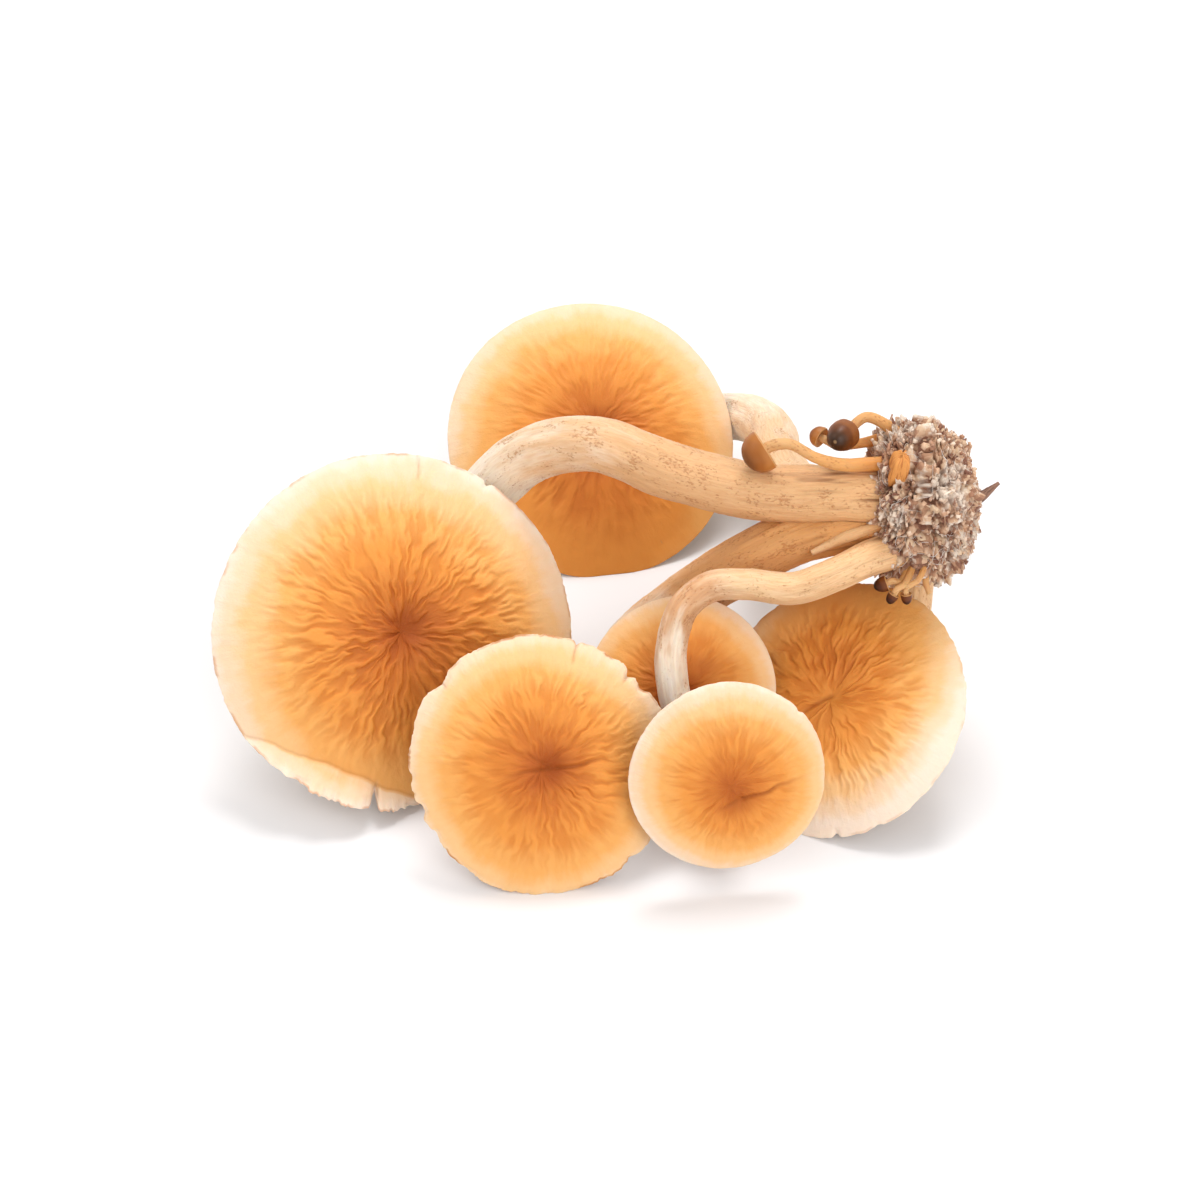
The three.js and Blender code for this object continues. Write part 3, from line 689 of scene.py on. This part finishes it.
def build_threads(grid, normal, material, count, seed):
    """Fine pale threads of mycelium that lie over the clump."""
    rng = np.random.default_rng(seed)
    rows, columns = grid.shape[:2]
    points, quads, used = [], [], 0
    for _ in range(count):
        r, c = rng.integers(rows // 8, rows - rows // 8), rng.integers(columns)
        dr, dc = rng.normal(size=2)
        lift = rng.uniform(0.05, 0.35)
        path = []
        for k in range(7):
            rr = int(np.clip(r + dr * k * rows / 90, 0, rows - 1))
            cc = int(c + dc * k * columns / 120) % columns
            path.append(grid[rr, cc] + normal[rr, cc] * (lift * (0.4 + math.sin(k / 6 * math.pi))))
        centres, slopes, _ = spline(path, 10)
        sides, ups = carried_frames(slopes)
        thick = rng.uniform(0.02, 0.045)
        angle = np.arange(4) / 4 * TAU
        ring = (centres[:, None, :] + thick * (sides[:, None, :] * np.cos(angle)[None, :, None]
                                               + ups[:, None, :] * np.sin(angle)[None, :, None]))
        points.append(ring.reshape(-1, 3))
        quads.append(grid_faces(10, 4) + used)
        used += 40
    make_piece("clump_threads", np.vstack(points), np.vstack(quads), None, {}, (), material)


def build_sliver(name, start, end, thick, tip, material, covers, seed, twist=0.5):
    """A thin tapered bit between two points, with splintered sides."""
    start, end = np.array(start) + ORIGIN_SHIFT, np.array(end) + ORIGIN_SHIFT
    along = end - start
    across = np.cross(along, [0, 0, 1])
    across /= np.linalg.norm(across)
    middle = 0.5 * (start + end) + across * twist
    build_stem(name, [start, middle, end], [thick, 0.7 * (thick + tip), tip], material, covers, seed,
               around=20,
               step=0.15, ridge=0.22, lump=0.3)


def build_chip(material):
    """The bare chip of wood bedded in the face of the clump."""
    low, high = (np.array(v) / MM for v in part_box("wood_chip"))
    centre, half = 0.5 * (low + high), 0.5 * (high - low)
    columns, rows = 40, 50
    t = np.linspace(-1, 1, rows)[:, None]
    angle = (np.arange(columns) / columns * TAU)[None, :]
    square = 1 / np.maximum(np.abs(np.cos(angle)), np.abs(np.sin(angle))) ** 0.8
    grain = layered(np.cos(angle) * 3, np.sin(angle) * 3, t * 0.8, 301, 3)
    ragged = 0.18 * noise(np.cos(angle) * 4, np.sin(angle) * 4, 0.5, 307)
    width = (1 - np.abs(t) ** 6) ** 0.5 * (1 + 0.12 * grain)
    x = 0.62 * half[0] * square * np.cos(angle) * width + 0.35 * half[0] * t * 0.5
    y = 0.6 * half[1] * square * np.sin(angle) * width - 0.3 * half[1] * t
    z = half[2] * (0.95 * t + ragged * t) * np.ones_like(angle)
    points = (centre + np.stack([x, y, z], -1)).reshape(-1, 3)
    ends = [points[:columns].mean(0), points[-columns:].mean(0)]
    grain_xyz = np.stack(np.broadcast_arrays(np.cos(angle) * 2, np.sin(angle) * 2, t * 4), -1).reshape(-1, 3)
    make_piece("clump_wood_chip", np.vstack([points, ends]), grid_faces(rows, columns),
               end_fans(rows, columns),
               {"grain": np.vstack([grain_xyz, grain_xyz[0], grain_xyz[-1]])}, ("wood_chip",),
               material)


# ---------------------------------------------------------------- shading
KEY = 0.86  # share of a seen colour that the surface itself keeps under the scene's light


def tint(red, green, blue):
    """A seen 0-255 colour as the linear colour of the surface under the scene's light."""
    def linear(v):
        v = v / 255
        return v / 12.92 if v < 0.04045 else ((v + 0.055) / 1.055) ** 2.4
    return tuple(KEY * linear(v) for v in (red, green, blue)) + (1.0,)


class Shader:
    """A short way to add and wire nodes in one tree."""

    def __init__(self, tree):
        self.tree = tree

    def add(self, kind, inputs=None, **settings):
        made = self.tree.nodes.new(kind)
        for key, value in settings.items():
            setattr(made, key, value)
        for key, value in (inputs or {}).items():
            self.feed(made.inputs[key], value)
        return made

    def feed(self, socket, value):
        if isinstance(value, bpy.types.NodeSocket):
            self.tree.links.new(value, socket)
        else:
            socket.default_value = value

    def math(self, operation, a, b=0.0, clamp=False):
        return self.add("ShaderNodeMath", {0: a, 1: b}, operation=operation, use_clamp=clamp).outputs[0]

    def ramp(self, factor, stops, mode="EASE"):
        made = self.add("ShaderNodeValToRGB", {0: factor})
        made.color_ramp.interpolation = mode
        elements = made.color_ramp.elements
        while len(elements) < len(stops):
            elements.new(0.5)
        for element, (place, colour) in zip(elements, stops):
            element.position = place
            element.color = colour if isinstance(colour, tuple) else (colour, colour, colour, 1)
        return made.outputs[0]

    def mix(self, factor, a, b, blend="MIX"):
        made = self.add("ShaderNodeMix", data_type="RGBA", blend_type=blend)
        self.feed(made.inputs[0], factor)
        self.feed(made.inputs[6], a)
        self.feed(made.inputs[7], b)
        return made.outputs[2]

    def noise(self, vector, scale, detail=3.0, rough=0.55):
        made = self.add("ShaderNodeTexNoise",
                        {"Vector": vector, "Scale": scale, "Detail": detail, "Roughness": rough})
        return made.outputs["Fac"]

    def value(self, name):
        return self.add("ShaderNodeAttribute", attribute_name=name).outputs["Fac"]

    def vector(self, name):
        return self.add("ShaderNodeAttribute", attribute_name=name).outputs["Vector"]

    def stretched(self, vector, scale):
        return self.add("ShaderNodeVectorMath", {0: vector, 1: scale}, operation="MULTIPLY").outputs[0]


def effect(name, inputs, outputs):
    """An empty effect group with named inputs and outputs."""
    group = bpy.data.node_groups.new(name, "ShaderNodeTree")
    for label, (kind, value) in inputs.items():
        made = group.interface.new_socket(name=label, in_out="INPUT", socket_type=kind)
        if value is not None:
            made.default_value = value
    for label in outputs:
        group.interface.new_socket(name=label, in_out="OUTPUT", socket_type="NodeSocketFloat")
    shader = Shader(group)
    return group, shader, group.nodes.new("NodeGroupInput"), group.nodes.new("NodeGroupOutput")


def speck_effect():
    """Small scattered scurf specks: 1 on a speck and 0 elsewhere."""
    group, s, given, put = effect("scurf_specks", {
        "Vector": ("NodeSocketVector", None), "Scale": ("NodeSocketFloat", 1.0),
        "Amount": ("NodeSocketFloat", 0.4),
    }, ["Mask"])
    fine = s.noise(given.outputs["Vector"], given.outputs["Scale"], 2.0, 0.5)
    place = s.math("MULTIPLY", given.outputs["Scale"], 0.13)
    broad = s.noise(given.outputs["Vector"], place, 2.0, 0.5)
    level = s.math("ADD", fine, s.math("MULTIPLY", s.math("SUBTRACT", broad, 0.5), 0.7))
    edge = s.math("SUBTRACT", 0.86, s.math("MULTIPLY", given.outputs["Amount"], 0.3))
    mask = s.math("MULTIPLY", s.math("SUBTRACT", level, edge), 8.0, clamp=True)
    s.feed(put.inputs["Mask"], mask)
    return group


def pore_effect():
    """A fine uneven skin: a height for bump and a slow change of tone."""
    group, s, given, put = effect("skin_pores", {
        "Vector": ("NodeSocketVector", None), "Scale": ("NodeSocketFloat", 1.0),
    }, ["Height", "Tone"])
    fine = s.noise(given.outputs["Vector"], given.outputs["Scale"], 4.0, 0.65)
    slow = s.noise(given.outputs["Vector"], s.math("MULTIPLY", given.outputs["Scale"], 0.06), 3.0, 0.5)
    s.feed(put.inputs["Height"], fine)
    s.feed(put.inputs["Tone"], slow)
    return group


def fibre_effect():
    """Fine lengthwise fibres, on a grain whose third axis runs along the piece."""
    group, s, given, put = effect("fibres", {
        "Vector": ("NodeSocketVector", None), "Scale": ("NodeSocketFloat", 1.0),
    }, ["Height"])
    drawn = s.stretched(given.outputs["Vector"], (1.0, 1.0, 0.12))
    s.feed(put.inputs["Height"], s.noise(drawn, given.outputs["Scale"], 4.0, 0.6))
    return group


def film_effect():
    """White mycelium in soft patches: 1 where it covers and 0 where it is bare."""
    group, s, given, put = effect("mycelium_film", {"Vector": ("NodeSocketVector", None)}, ["Mask"])
    patches = s.noise(given.outputs["Vector"], 170.0, 2.0, 0.5)
    torn = s.noise(given.outputs["Vector"], 620.0, 4.0, 0.65)
    level = s.math("ADD", patches, s.math("MULTIPLY", s.math("SUBTRACT", torn, 0.5), 0.8))
    mask = s.math("MULTIPLY", s.math("SUBTRACT", level, 0.495), 7.0, clamp=True)
    s.feed(put.inputs["Mask"], mask)
    return group


SPECKS = speck_effect()
PORES = pore_effect()
FIBRES = fibre_effect()
FILM = film_effect()


def new_material(name, roughness=0.55, soft=0.2, radius=(1.0, 0.45, 0.2), depth=0.0015):
    """A flesh-like material, its node helper and its shader."""
    material = bpy.data.materials.new(name)
    material.use_nodes = True
    s = Shader(material.node_tree)
    surface = material.node_tree.nodes["Principled BSDF"]
    surface.inputs["Roughness"].default_value = roughness
    surface.inputs["Subsurface Weight"].default_value = soft
    surface.inputs["Subsurface Radius"].default_value = radius
    surface.inputs["Subsurface Scale"].default_value = depth
    surface.inputs["Specular IOR Level"].default_value = 0.35
    return material, s, surface


def put_effect(s, group, vector, **inputs):
    """Places an effect group in a material and feeds it."""
    return s.add("ShaderNodeGroup", {"Vector": vector, **inputs}, node_tree=group)


def cap_material(name, marks):
    """Wrinkled cap skin: brown at the pit, orange over the crown, cream at the rim."""
    material, s, surface = new_material(name, soft=0.15, depth=0.0010)
    surface.inputs["Specular IOR Level"].default_value = 0.22
    place = s.add("ShaderNodeTexCoord").outputs["Object"]
    pores = put_effect(s, PORES, place, Scale=2600.0)
    radial = s.noise(s.stretched(s.vector("fan"), (15.0, 15.0, 5.0)), 1.0, 3.0, 0.6)
    reach = s.math("MAXIMUM", s.value("reach"), marks["lightest"])
    reach = s.math("ADD", reach, s.math("MULTIPLY", s.math("SUBTRACT", pores.outputs["Tone"], 0.5), 0.16))
    reach = s.math("ADD", reach, s.math("MULTIPLY", s.math("SUBTRACT", radial, 0.5), 0.1))
    # Painted shade: the cap's shaded side is moved down the ramp of tones, browner.
    reach = s.math("SUBTRACT", reach, s.value("painted_shade"))
    reach = s.math("SUBTRACT", reach, 0.5 * marks["dark"])
    colour = s.ramp(reach, [
        (0.0, tint(198, 104, 34)), (0.18, tint(216, 126, 46)), (0.42, tint(236, 152, 66)),
        (0.62, tint(246, 176, 96)), (0.78, tint(250, 200, 140)), (0.9, tint(251, 217, 180)),
        (1.0, tint(252, 230, 208))])
    # Painted shade and light on the wrinkles: the valleys are painted darker and the ridges lighter, on top
    # of their real relief.
    valley_shade = s.mix(1.0, colour, (0.78, 0.6, 0.42, 1), "MULTIPLY")
    high = s.mix(1.0, colour, (1.06, 1.1, 1.18, 1), "MULTIPLY")
    fold_shading = s.mix(s.value("relief"), valley_shade, high)
    colour = s.mix(s.math("MULTIPLY", s.value("strength"), min(0.7, 2.4 * marks["wrinkle"])), colour, fold_shading)
    pit = s.math("MULTIPLY", s.value("pit"), 0.85 * marks["pit_tone"])
    colour = s.mix(pit, colour, tint(160, 72, 14))
    # Painted shade in the creases, the cracks and along the flap's fold line.
    colour = s.mix(s.math("MULTIPLY", s.value("crease"), 1.1, clamp=True), colour, tint(158, 76, 20))
    specks = put_effect(s, SPECKS, place, Scale=1300.0, Amount=-0.25)
    colour = s.mix(s.math("MULTIPLY", specks.outputs["Mask"], 0.5), colour, tint(176, 96, 34))
    broken = s.ramp(s.noise(place, 190.0), [(0.45, 0.0), (0.6, 1.0)])
    line = s.math("MULTIPLY", s.math("MULTIPLY", s.value("edge"), broken), 0.8 * marks["edge"])
    colour = s.mix(line, colour, tint(196, 122, 56))
    s.feed(surface.inputs["Base Color"], colour)
    s.feed(surface.inputs["Roughness"], s.ramp(reach, [(0.0, 0.5), (0.7, 0.56), (1.0, 0.64)]))
    height = s.math("ADD", pores.outputs["Height"], s.math("MULTIPLY", radial, 1.6))
    bump = s.add("ShaderNodeBump", {"Strength": 0.6, "Distance": 0.00016, "Height": height})
    s.feed(surface.inputs["Normal"], bump.outputs[0])
    return material


def gill_material():
    """Pale tan gills, with painted shade between the blades and where they meet the stem."""
    material, s, surface = new_material("gill_flesh", roughness=0.65, soft=0.25, depth=0.001)
    place = s.add("ShaderNodeTexCoord").outputs["Object"]
    pores = put_effect(s, PORES, place, Scale=1500.0)
    # Painted shade: darker between the blades, and towards the stem deep under the cap.
    blade = s.ramp(s.value("blade"),
                   [(0.0, tint(176, 128, 84)), (0.5, tint(214, 172, 126)), (1.0, tint(240, 212, 176))])
    shade = s.ramp(s.value("reach"), [(0.0, 0.72), (0.4, 0.95), (1.0, 1.0)])
    colour = s.mix(1.0, blade, shade, "MULTIPLY")
    colour = s.mix(s.ramp(s.value("reach"), [(0.93, 0.0), (1.0, 1.0)]), colour, tint(252, 232, 200))
    s.feed(surface.inputs["Base Color"], colour)
    bump = s.add("ShaderNodeBump", {"Strength": 0.3, "Distance": 0.0001, "Height": pores.outputs["Height"]})
    s.feed(surface.inputs["Normal"], bump.outputs[0])
    return material


def stem_material(name, tone, specks_amount, pale=1.0, band=(0.5, 0.3, 0.0)):
    """Fibrous stem flesh: cream by the cap, tan by the clump and over a band, with brown scurf."""
    material, s, surface = new_material(name, roughness=0.6, soft=0.2, depth=0.0014)
    grain = s.vector("grain")
    fine = put_effect(s, FIBRES, grain, Scale=3.4).outputs["Height"]
    broad = s.noise(s.stretched(grain, (1.0, 1.0, 0.35)), 0.34, 3.0, 0.5)
    wander = s.math("MULTIPLY", s.math("SUBTRACT", broad, 0.5), 0.5)
    along = s.math("ADD", s.value("along"), wander)
    low = tint(244 - 10 * tone, 200 - 26 * tone, 150 - 40 * tone)
    middle = tint(248 - 8 * tone, 212 - 22 * tone, 168 - 36 * tone)
    upper = tint(226 + 29 * pale, 172 + 66 * pale, 112 + 102 * pale)
    top = tint(230 + 25 * pale, 180 + 72 * pale, 122 + 122 * pale)
    colour = s.ramp(along, [(0.0, low), (0.35, middle), (0.68, upper), (0.9, top)])
    centre, spread, strength = band
    tan = s.ramp(along,
                 [(max(0.0, centre - spread), 0.0), (centre, strength), (min(1.0, centre + spread), 0.0)])
    colour = s.mix(tan, colour, tint(214, 150, 92))
    streak = s.ramp(fine, [(0.36, 0.0), (0.6, 1.0)])
    fading = s.ramp(s.value("along"), [(0.2, 0.36), (0.75, 0.1)])
    colour = s.mix(s.math("MULTIPLY", s.math("SUBTRACT", 1.0, streak), fading), colour, tint(214, 150, 98))
    # Painted shade in the grooves near the clump.
    groove = s.ramp(s.math("ADD", s.value("groove"), 0.6), [(0.0, 1.0), (0.52, 0.0)])
    foot = s.ramp(s.value("along"), [(0.05, 0.9), (0.24, 0.1)])
    colour = s.mix(s.math("MULTIPLY", groove, foot), colour, tint(128, 74, 36))
    specks = put_effect(s, SPECKS, s.stretched(grain, (1.0, 1.0, 0.6)), Scale=3.2,
                        Amount=s.math("ADD", specks_amount, s.math("MULTIPLY", tan, 0.3)))
    colour = s.mix(s.math("MULTIPLY", specks.outputs["Mask"], 0.55), colour, tint(184, 116, 62))
    s.feed(surface.inputs["Base Color"], colour)
    height = s.math("ADD", fine, s.math("MULTIPLY", specks.outputs["Mask"], 0.5))
    bump = s.add("ShaderNodeBump", {"Strength": 0.6, "Distance": 0.0003, "Height": height})
    s.feed(surface.inputs["Normal"], bump.outputs[0])
    return material


def young_cap_material(name, dark):
    """Smooth satin skin of a young cap, with its pale closed underside."""
    material, s, surface = new_material(name, roughness=0.42, soft=0.08, depth=0.0006)
    surface.inputs["Specular IOR Level"].default_value = 0.3
    place = s.add("ShaderNodeTexCoord").outputs["Object"]
    pores = put_effect(s, PORES, place, Scale=1800.0)
    reach = s.math("ADD", s.value("reach"),
                   s.math("MULTIPLY", s.math("SUBTRACT", pores.outputs["Tone"], 0.5), 0.6))
    d = 1 - 0.7 * dark
    colour = s.ramp(reach, [(0.0, tint(120 * d, 66 * d, 30 * d)), (0.45, tint(160 * d, 92 * d, 40 * d)),
                            (0.85, tint(196 - 106 * dark, 118 - 74 * dark, 46 - 30 * dark)),
                            (1.0, tint(214 - 88 * dark, 140 - 72 * dark, 66 - 42 * dark))])
    # Painted highlight: a pale spot at the apex of the darker young caps.
    apex_highlight = s.ramp(s.value("reach"), [(0.06, 1.0), (0.16, 0.0)])
    colour = s.mix(s.math("MULTIPLY", apex_highlight, 0.5 * min(dark, 1.0)), colour, tint(214, 170, 118))
    colour = s.mix(s.value("below"), colour, tint(206, 150, 92))
    s.feed(surface.inputs["Base Color"], colour)
    bump = s.add("ShaderNodeBump", {"Strength": 0.3, "Distance": 0.0001, "Height": pores.outputs["Height"]})
    s.feed(surface.inputs["Normal"], bump.outputs[0])
    return material


def clump_material():
    """Sawdust bound by mycelium: white films over purple-brown bits, with painted shade in the hollows."""
    material, s, surface = new_material("sawdust_and_mycelium", roughness=0.85, soft=0.0)
    place = s.add("ShaderNodeTexCoord").outputs["Object"]
    pores = put_effect(s, PORES, place, Scale=2200.0)
    bits = s.add("ShaderNodeTexVoronoi", {"Vector": place, "Scale": 900.0}).outputs["Color"]
    bit = s.add("ShaderNodeSeparateColor", {0: bits}).outputs[0]
    wood = s.ramp(bit, [(0.0, tint(150, 104, 84)), (0.4, tint(200, 152, 120)), (0.7, tint(228, 186, 152)),
                        (1.0, tint(246, 214, 178))])
    film = put_effect(s, FILM, place).outputs["Mask"]
    colour = s.mix(s.math("MULTIPLY", film, 0.85), wood, tint(255, 240, 222))
    # Painted shade in the clump's hollows.
    hollow_shade = s.value("hollow_shade")
    colour = s.mix(s.math("MULTIPLY", s.ramp(hollow_shade, [(0.45, 0.0), (0.95, 1.0)]), 0.6), colour,
                   tint(134, 88, 66))
    s.feed(surface.inputs["Base Color"], colour)
    bump = s.add("ShaderNodeBump", {"Strength": 0.9, "Distance": 0.0004, "Height": pores.outputs["Height"]})
    s.feed(surface.inputs["Normal"], bump.outputs[0])
    return material


def crumb_material():
    """Loose bits of sawdust, each of its own tone."""
    material, s, surface = new_material("sawdust_bits", roughness=0.85, soft=0.0)
    place = s.add("ShaderNodeTexCoord").outputs["Object"]
    pores = put_effect(s, PORES, place, Scale=3000.0)
    tone = s.math("ADD", s.value("tone"),
                  s.math("MULTIPLY", s.math("SUBTRACT", pores.outputs["Height"], 0.5), 0.5))
    wood = s.ramp(tone, [(0.0, tint(136, 90, 72)), (0.35, tint(190, 140, 110)), (0.7, tint(230, 188, 154)),
                         (1.0, tint(252, 228, 204))])
    film = put_effect(s, FILM, place).outputs["Mask"]
    colour = s.mix(s.math("MULTIPLY", film, 0.75), wood, tint(255, 240, 222))
    s.feed(surface.inputs["Base Color"], colour)
    bump = s.add("ShaderNodeBump", {"Strength": 0.6, "Distance": 0.0002, "Height": pores.outputs["Height"]})
    s.feed(surface.inputs["Normal"], bump.outputs[0])
    return material


def thread_material():
    """Cotton-white threads, a little yellowed in places."""
    material, s, surface = new_material("mycelium_thread", roughness=0.8, soft=0.0)
    place = s.add("ShaderNodeTexCoord").outputs["Object"]
    colour = s.ramp(s.noise(place, 400.0), [(0.3, tint(240, 224, 208)), (0.7, tint(254, 250, 246))])
    s.feed(surface.inputs["Base Color"], colour)
    return material


def chip_material(name, pale, dark):
    """Bare splintered wood with its grain along the chip."""
    material, s, surface = new_material(name, roughness=0.7, soft=0.05)
    grain = s.vector("grain")
    lines = put_effect(s, FIBRES, grain, Scale=3.0).outputs["Height"]
    colour = s.ramp(lines, [(0.3, dark), (0.55, pale), (0.8, pale)])
    s.feed(surface.inputs["Base Color"], colour)
    bump = s.add("ShaderNodeBump", {"Strength": 0.6, "Distance": 0.0002, "Height": lines})
    s.feed(surface.inputs["Normal"], bump.outputs[0])
    return material


# ---------------------------------------------------------------- the bunch
def build_bunch():
    gills = gill_material()
    for index, (node, marks) in enumerate(CAPS.items()):
        stem_name = next(name for name, stem in STEMS.items() if stem["cap"] == node)
        stem = STEMS[stem_name]
        skin = cap_material(f"cap_skin_{index + 1}", marks)
        cap = build_cap(node, marks, skin, gills, stem["radii"][-1])
        seat = cap.centre - cap.axis * GILL_DEPTH * cap.radius
        route = shifted(stem["route"]) + [seat - cap.axis * STEM_LEAD, seat + cap.axis * 0.1 * cap.radius]
        flesh = stem_material(f"stem_flesh_{index + 1}", stem["tone"], 0.74, band=stem["band"])
        wide = 96 if stem["radii"][0] > 4 else 72
        build_stem(f"{stem_name}_flesh", route, stem["radii"], flesh, (stem_name,), stem["seed"], around=wide,
                   flare=(stem["foot"], 0.35))


def build_young():
    young_flesh = stem_material("young_stem_flesh", 1.9, 0.85, pale=0.0)
    for index, (name, pin) in enumerate(PINS.items()):
        skin = young_cap_material(f"young_cap_skin_{index + 1}", pin["dark"])
        build_pin(name, pin, skin, young_flesh, 401 + 11 * index)
    withered_flesh = stem_material("withered_stem_flesh", 0.7, 0.7, pale=0.2)
    build_sliver("withered_pin", (46, -1.6, 42.4), (34.5, -4.3, 38.6), 1, 0.4, withered_flesh,
                 ("pin_withered",), 501)
    build_sliver("pin_thread_end", (53.3, -3, 35), (53.9, -6.8, 32), 0.5, 0.35, young_flesh, ("pin_thread",),
                 511, twist=0.3)


def build_foot():
    grid, normal = build_clump(clump_material(), crumb_material())
    build_threads(grid, normal, thread_material(), 220, 71)
    build_chip(chip_material("bare_chip", tint(232, 158, 84), tint(176, 96, 40)))
    build_sliver("splinter", (58, 4, 40.5), (65.6, 6.6, 44.6), 1.1, 0.25,
                 chip_material("weathered_splinter", tint(150, 112, 92), tint(84, 56, 48)), ("twig",),
                 521)


def build_stage():
    """A plain pale floor, soft light from above and behind, and the camera."""
    bpy.ops.mesh.primitive_plane_add(size=4)
    floor = bpy.context.object
    floor.name = "floor"
    plain, _, surface = new_material("plain_floor", roughness=0.9, soft=0.0)
    surface.inputs["Base Color"].default_value = (0.79, 0.78, 0.785, 1)
    floor.data.materials.append(plain)

    world = bpy.data.worlds.new("plain_white")
    bpy.context.scene.world = world
    world.use_nodes = True
    world.node_tree.nodes["Background"].inputs["Color"].default_value = (1.0, 0.99, 0.985, 1)
    world.node_tree.nodes["Background"].inputs["Strength"].default_value = 0.74

    target = Vector((ORIGIN_SHIFT[0], ORIGIN_SHIFT[1], 25)) * MM
    for name, place, size, power in (("soft_top", (0.1, 0.45, 0.95), 0.42, 6.3),
                                     ("soft_left", (-0.8, -0.1, 0.7), 0.6, 2.2),
                                     ("soft_front", (0.4, -0.75, 0.6), 0.7, 4.9)):
        lamp = bpy.data.lights.new(name, "AREA")
        lamp.size = size
        lamp.energy = power
        holder = bpy.data.objects.new(name, lamp)
        holder.location = place
        holder.rotation_euler = (target - Vector(place)).to_track_quat("-Z", "Y").to_euler()
        bpy.context.scene.collection.objects.link(holder)

    camera = bpy.data.cameras.new("camera")
    lens, sensor, seen_width = 100, 36, 0.2
    camera.lens = lens
    camera.sensor_width = sensor
    camera.clip_start = 0.05
    holder = bpy.data.objects.new("camera", camera)
    away = lens / sensor * seen_width
    rise = math.radians(40)
    holder.location = target + Vector((0, -math.cos(rise), math.sin(rise))) * away
    holder.rotation_euler = (target - holder.location).to_track_quat("-Z", "Y").to_euler()
    bpy.context.scene.collection.objects.link(holder)
    bpy.context.scene.camera = holder
    bpy.context.scene.view_settings.view_transform = "Standard"


build_bunch()
build_young()
build_foot()
build_stage()
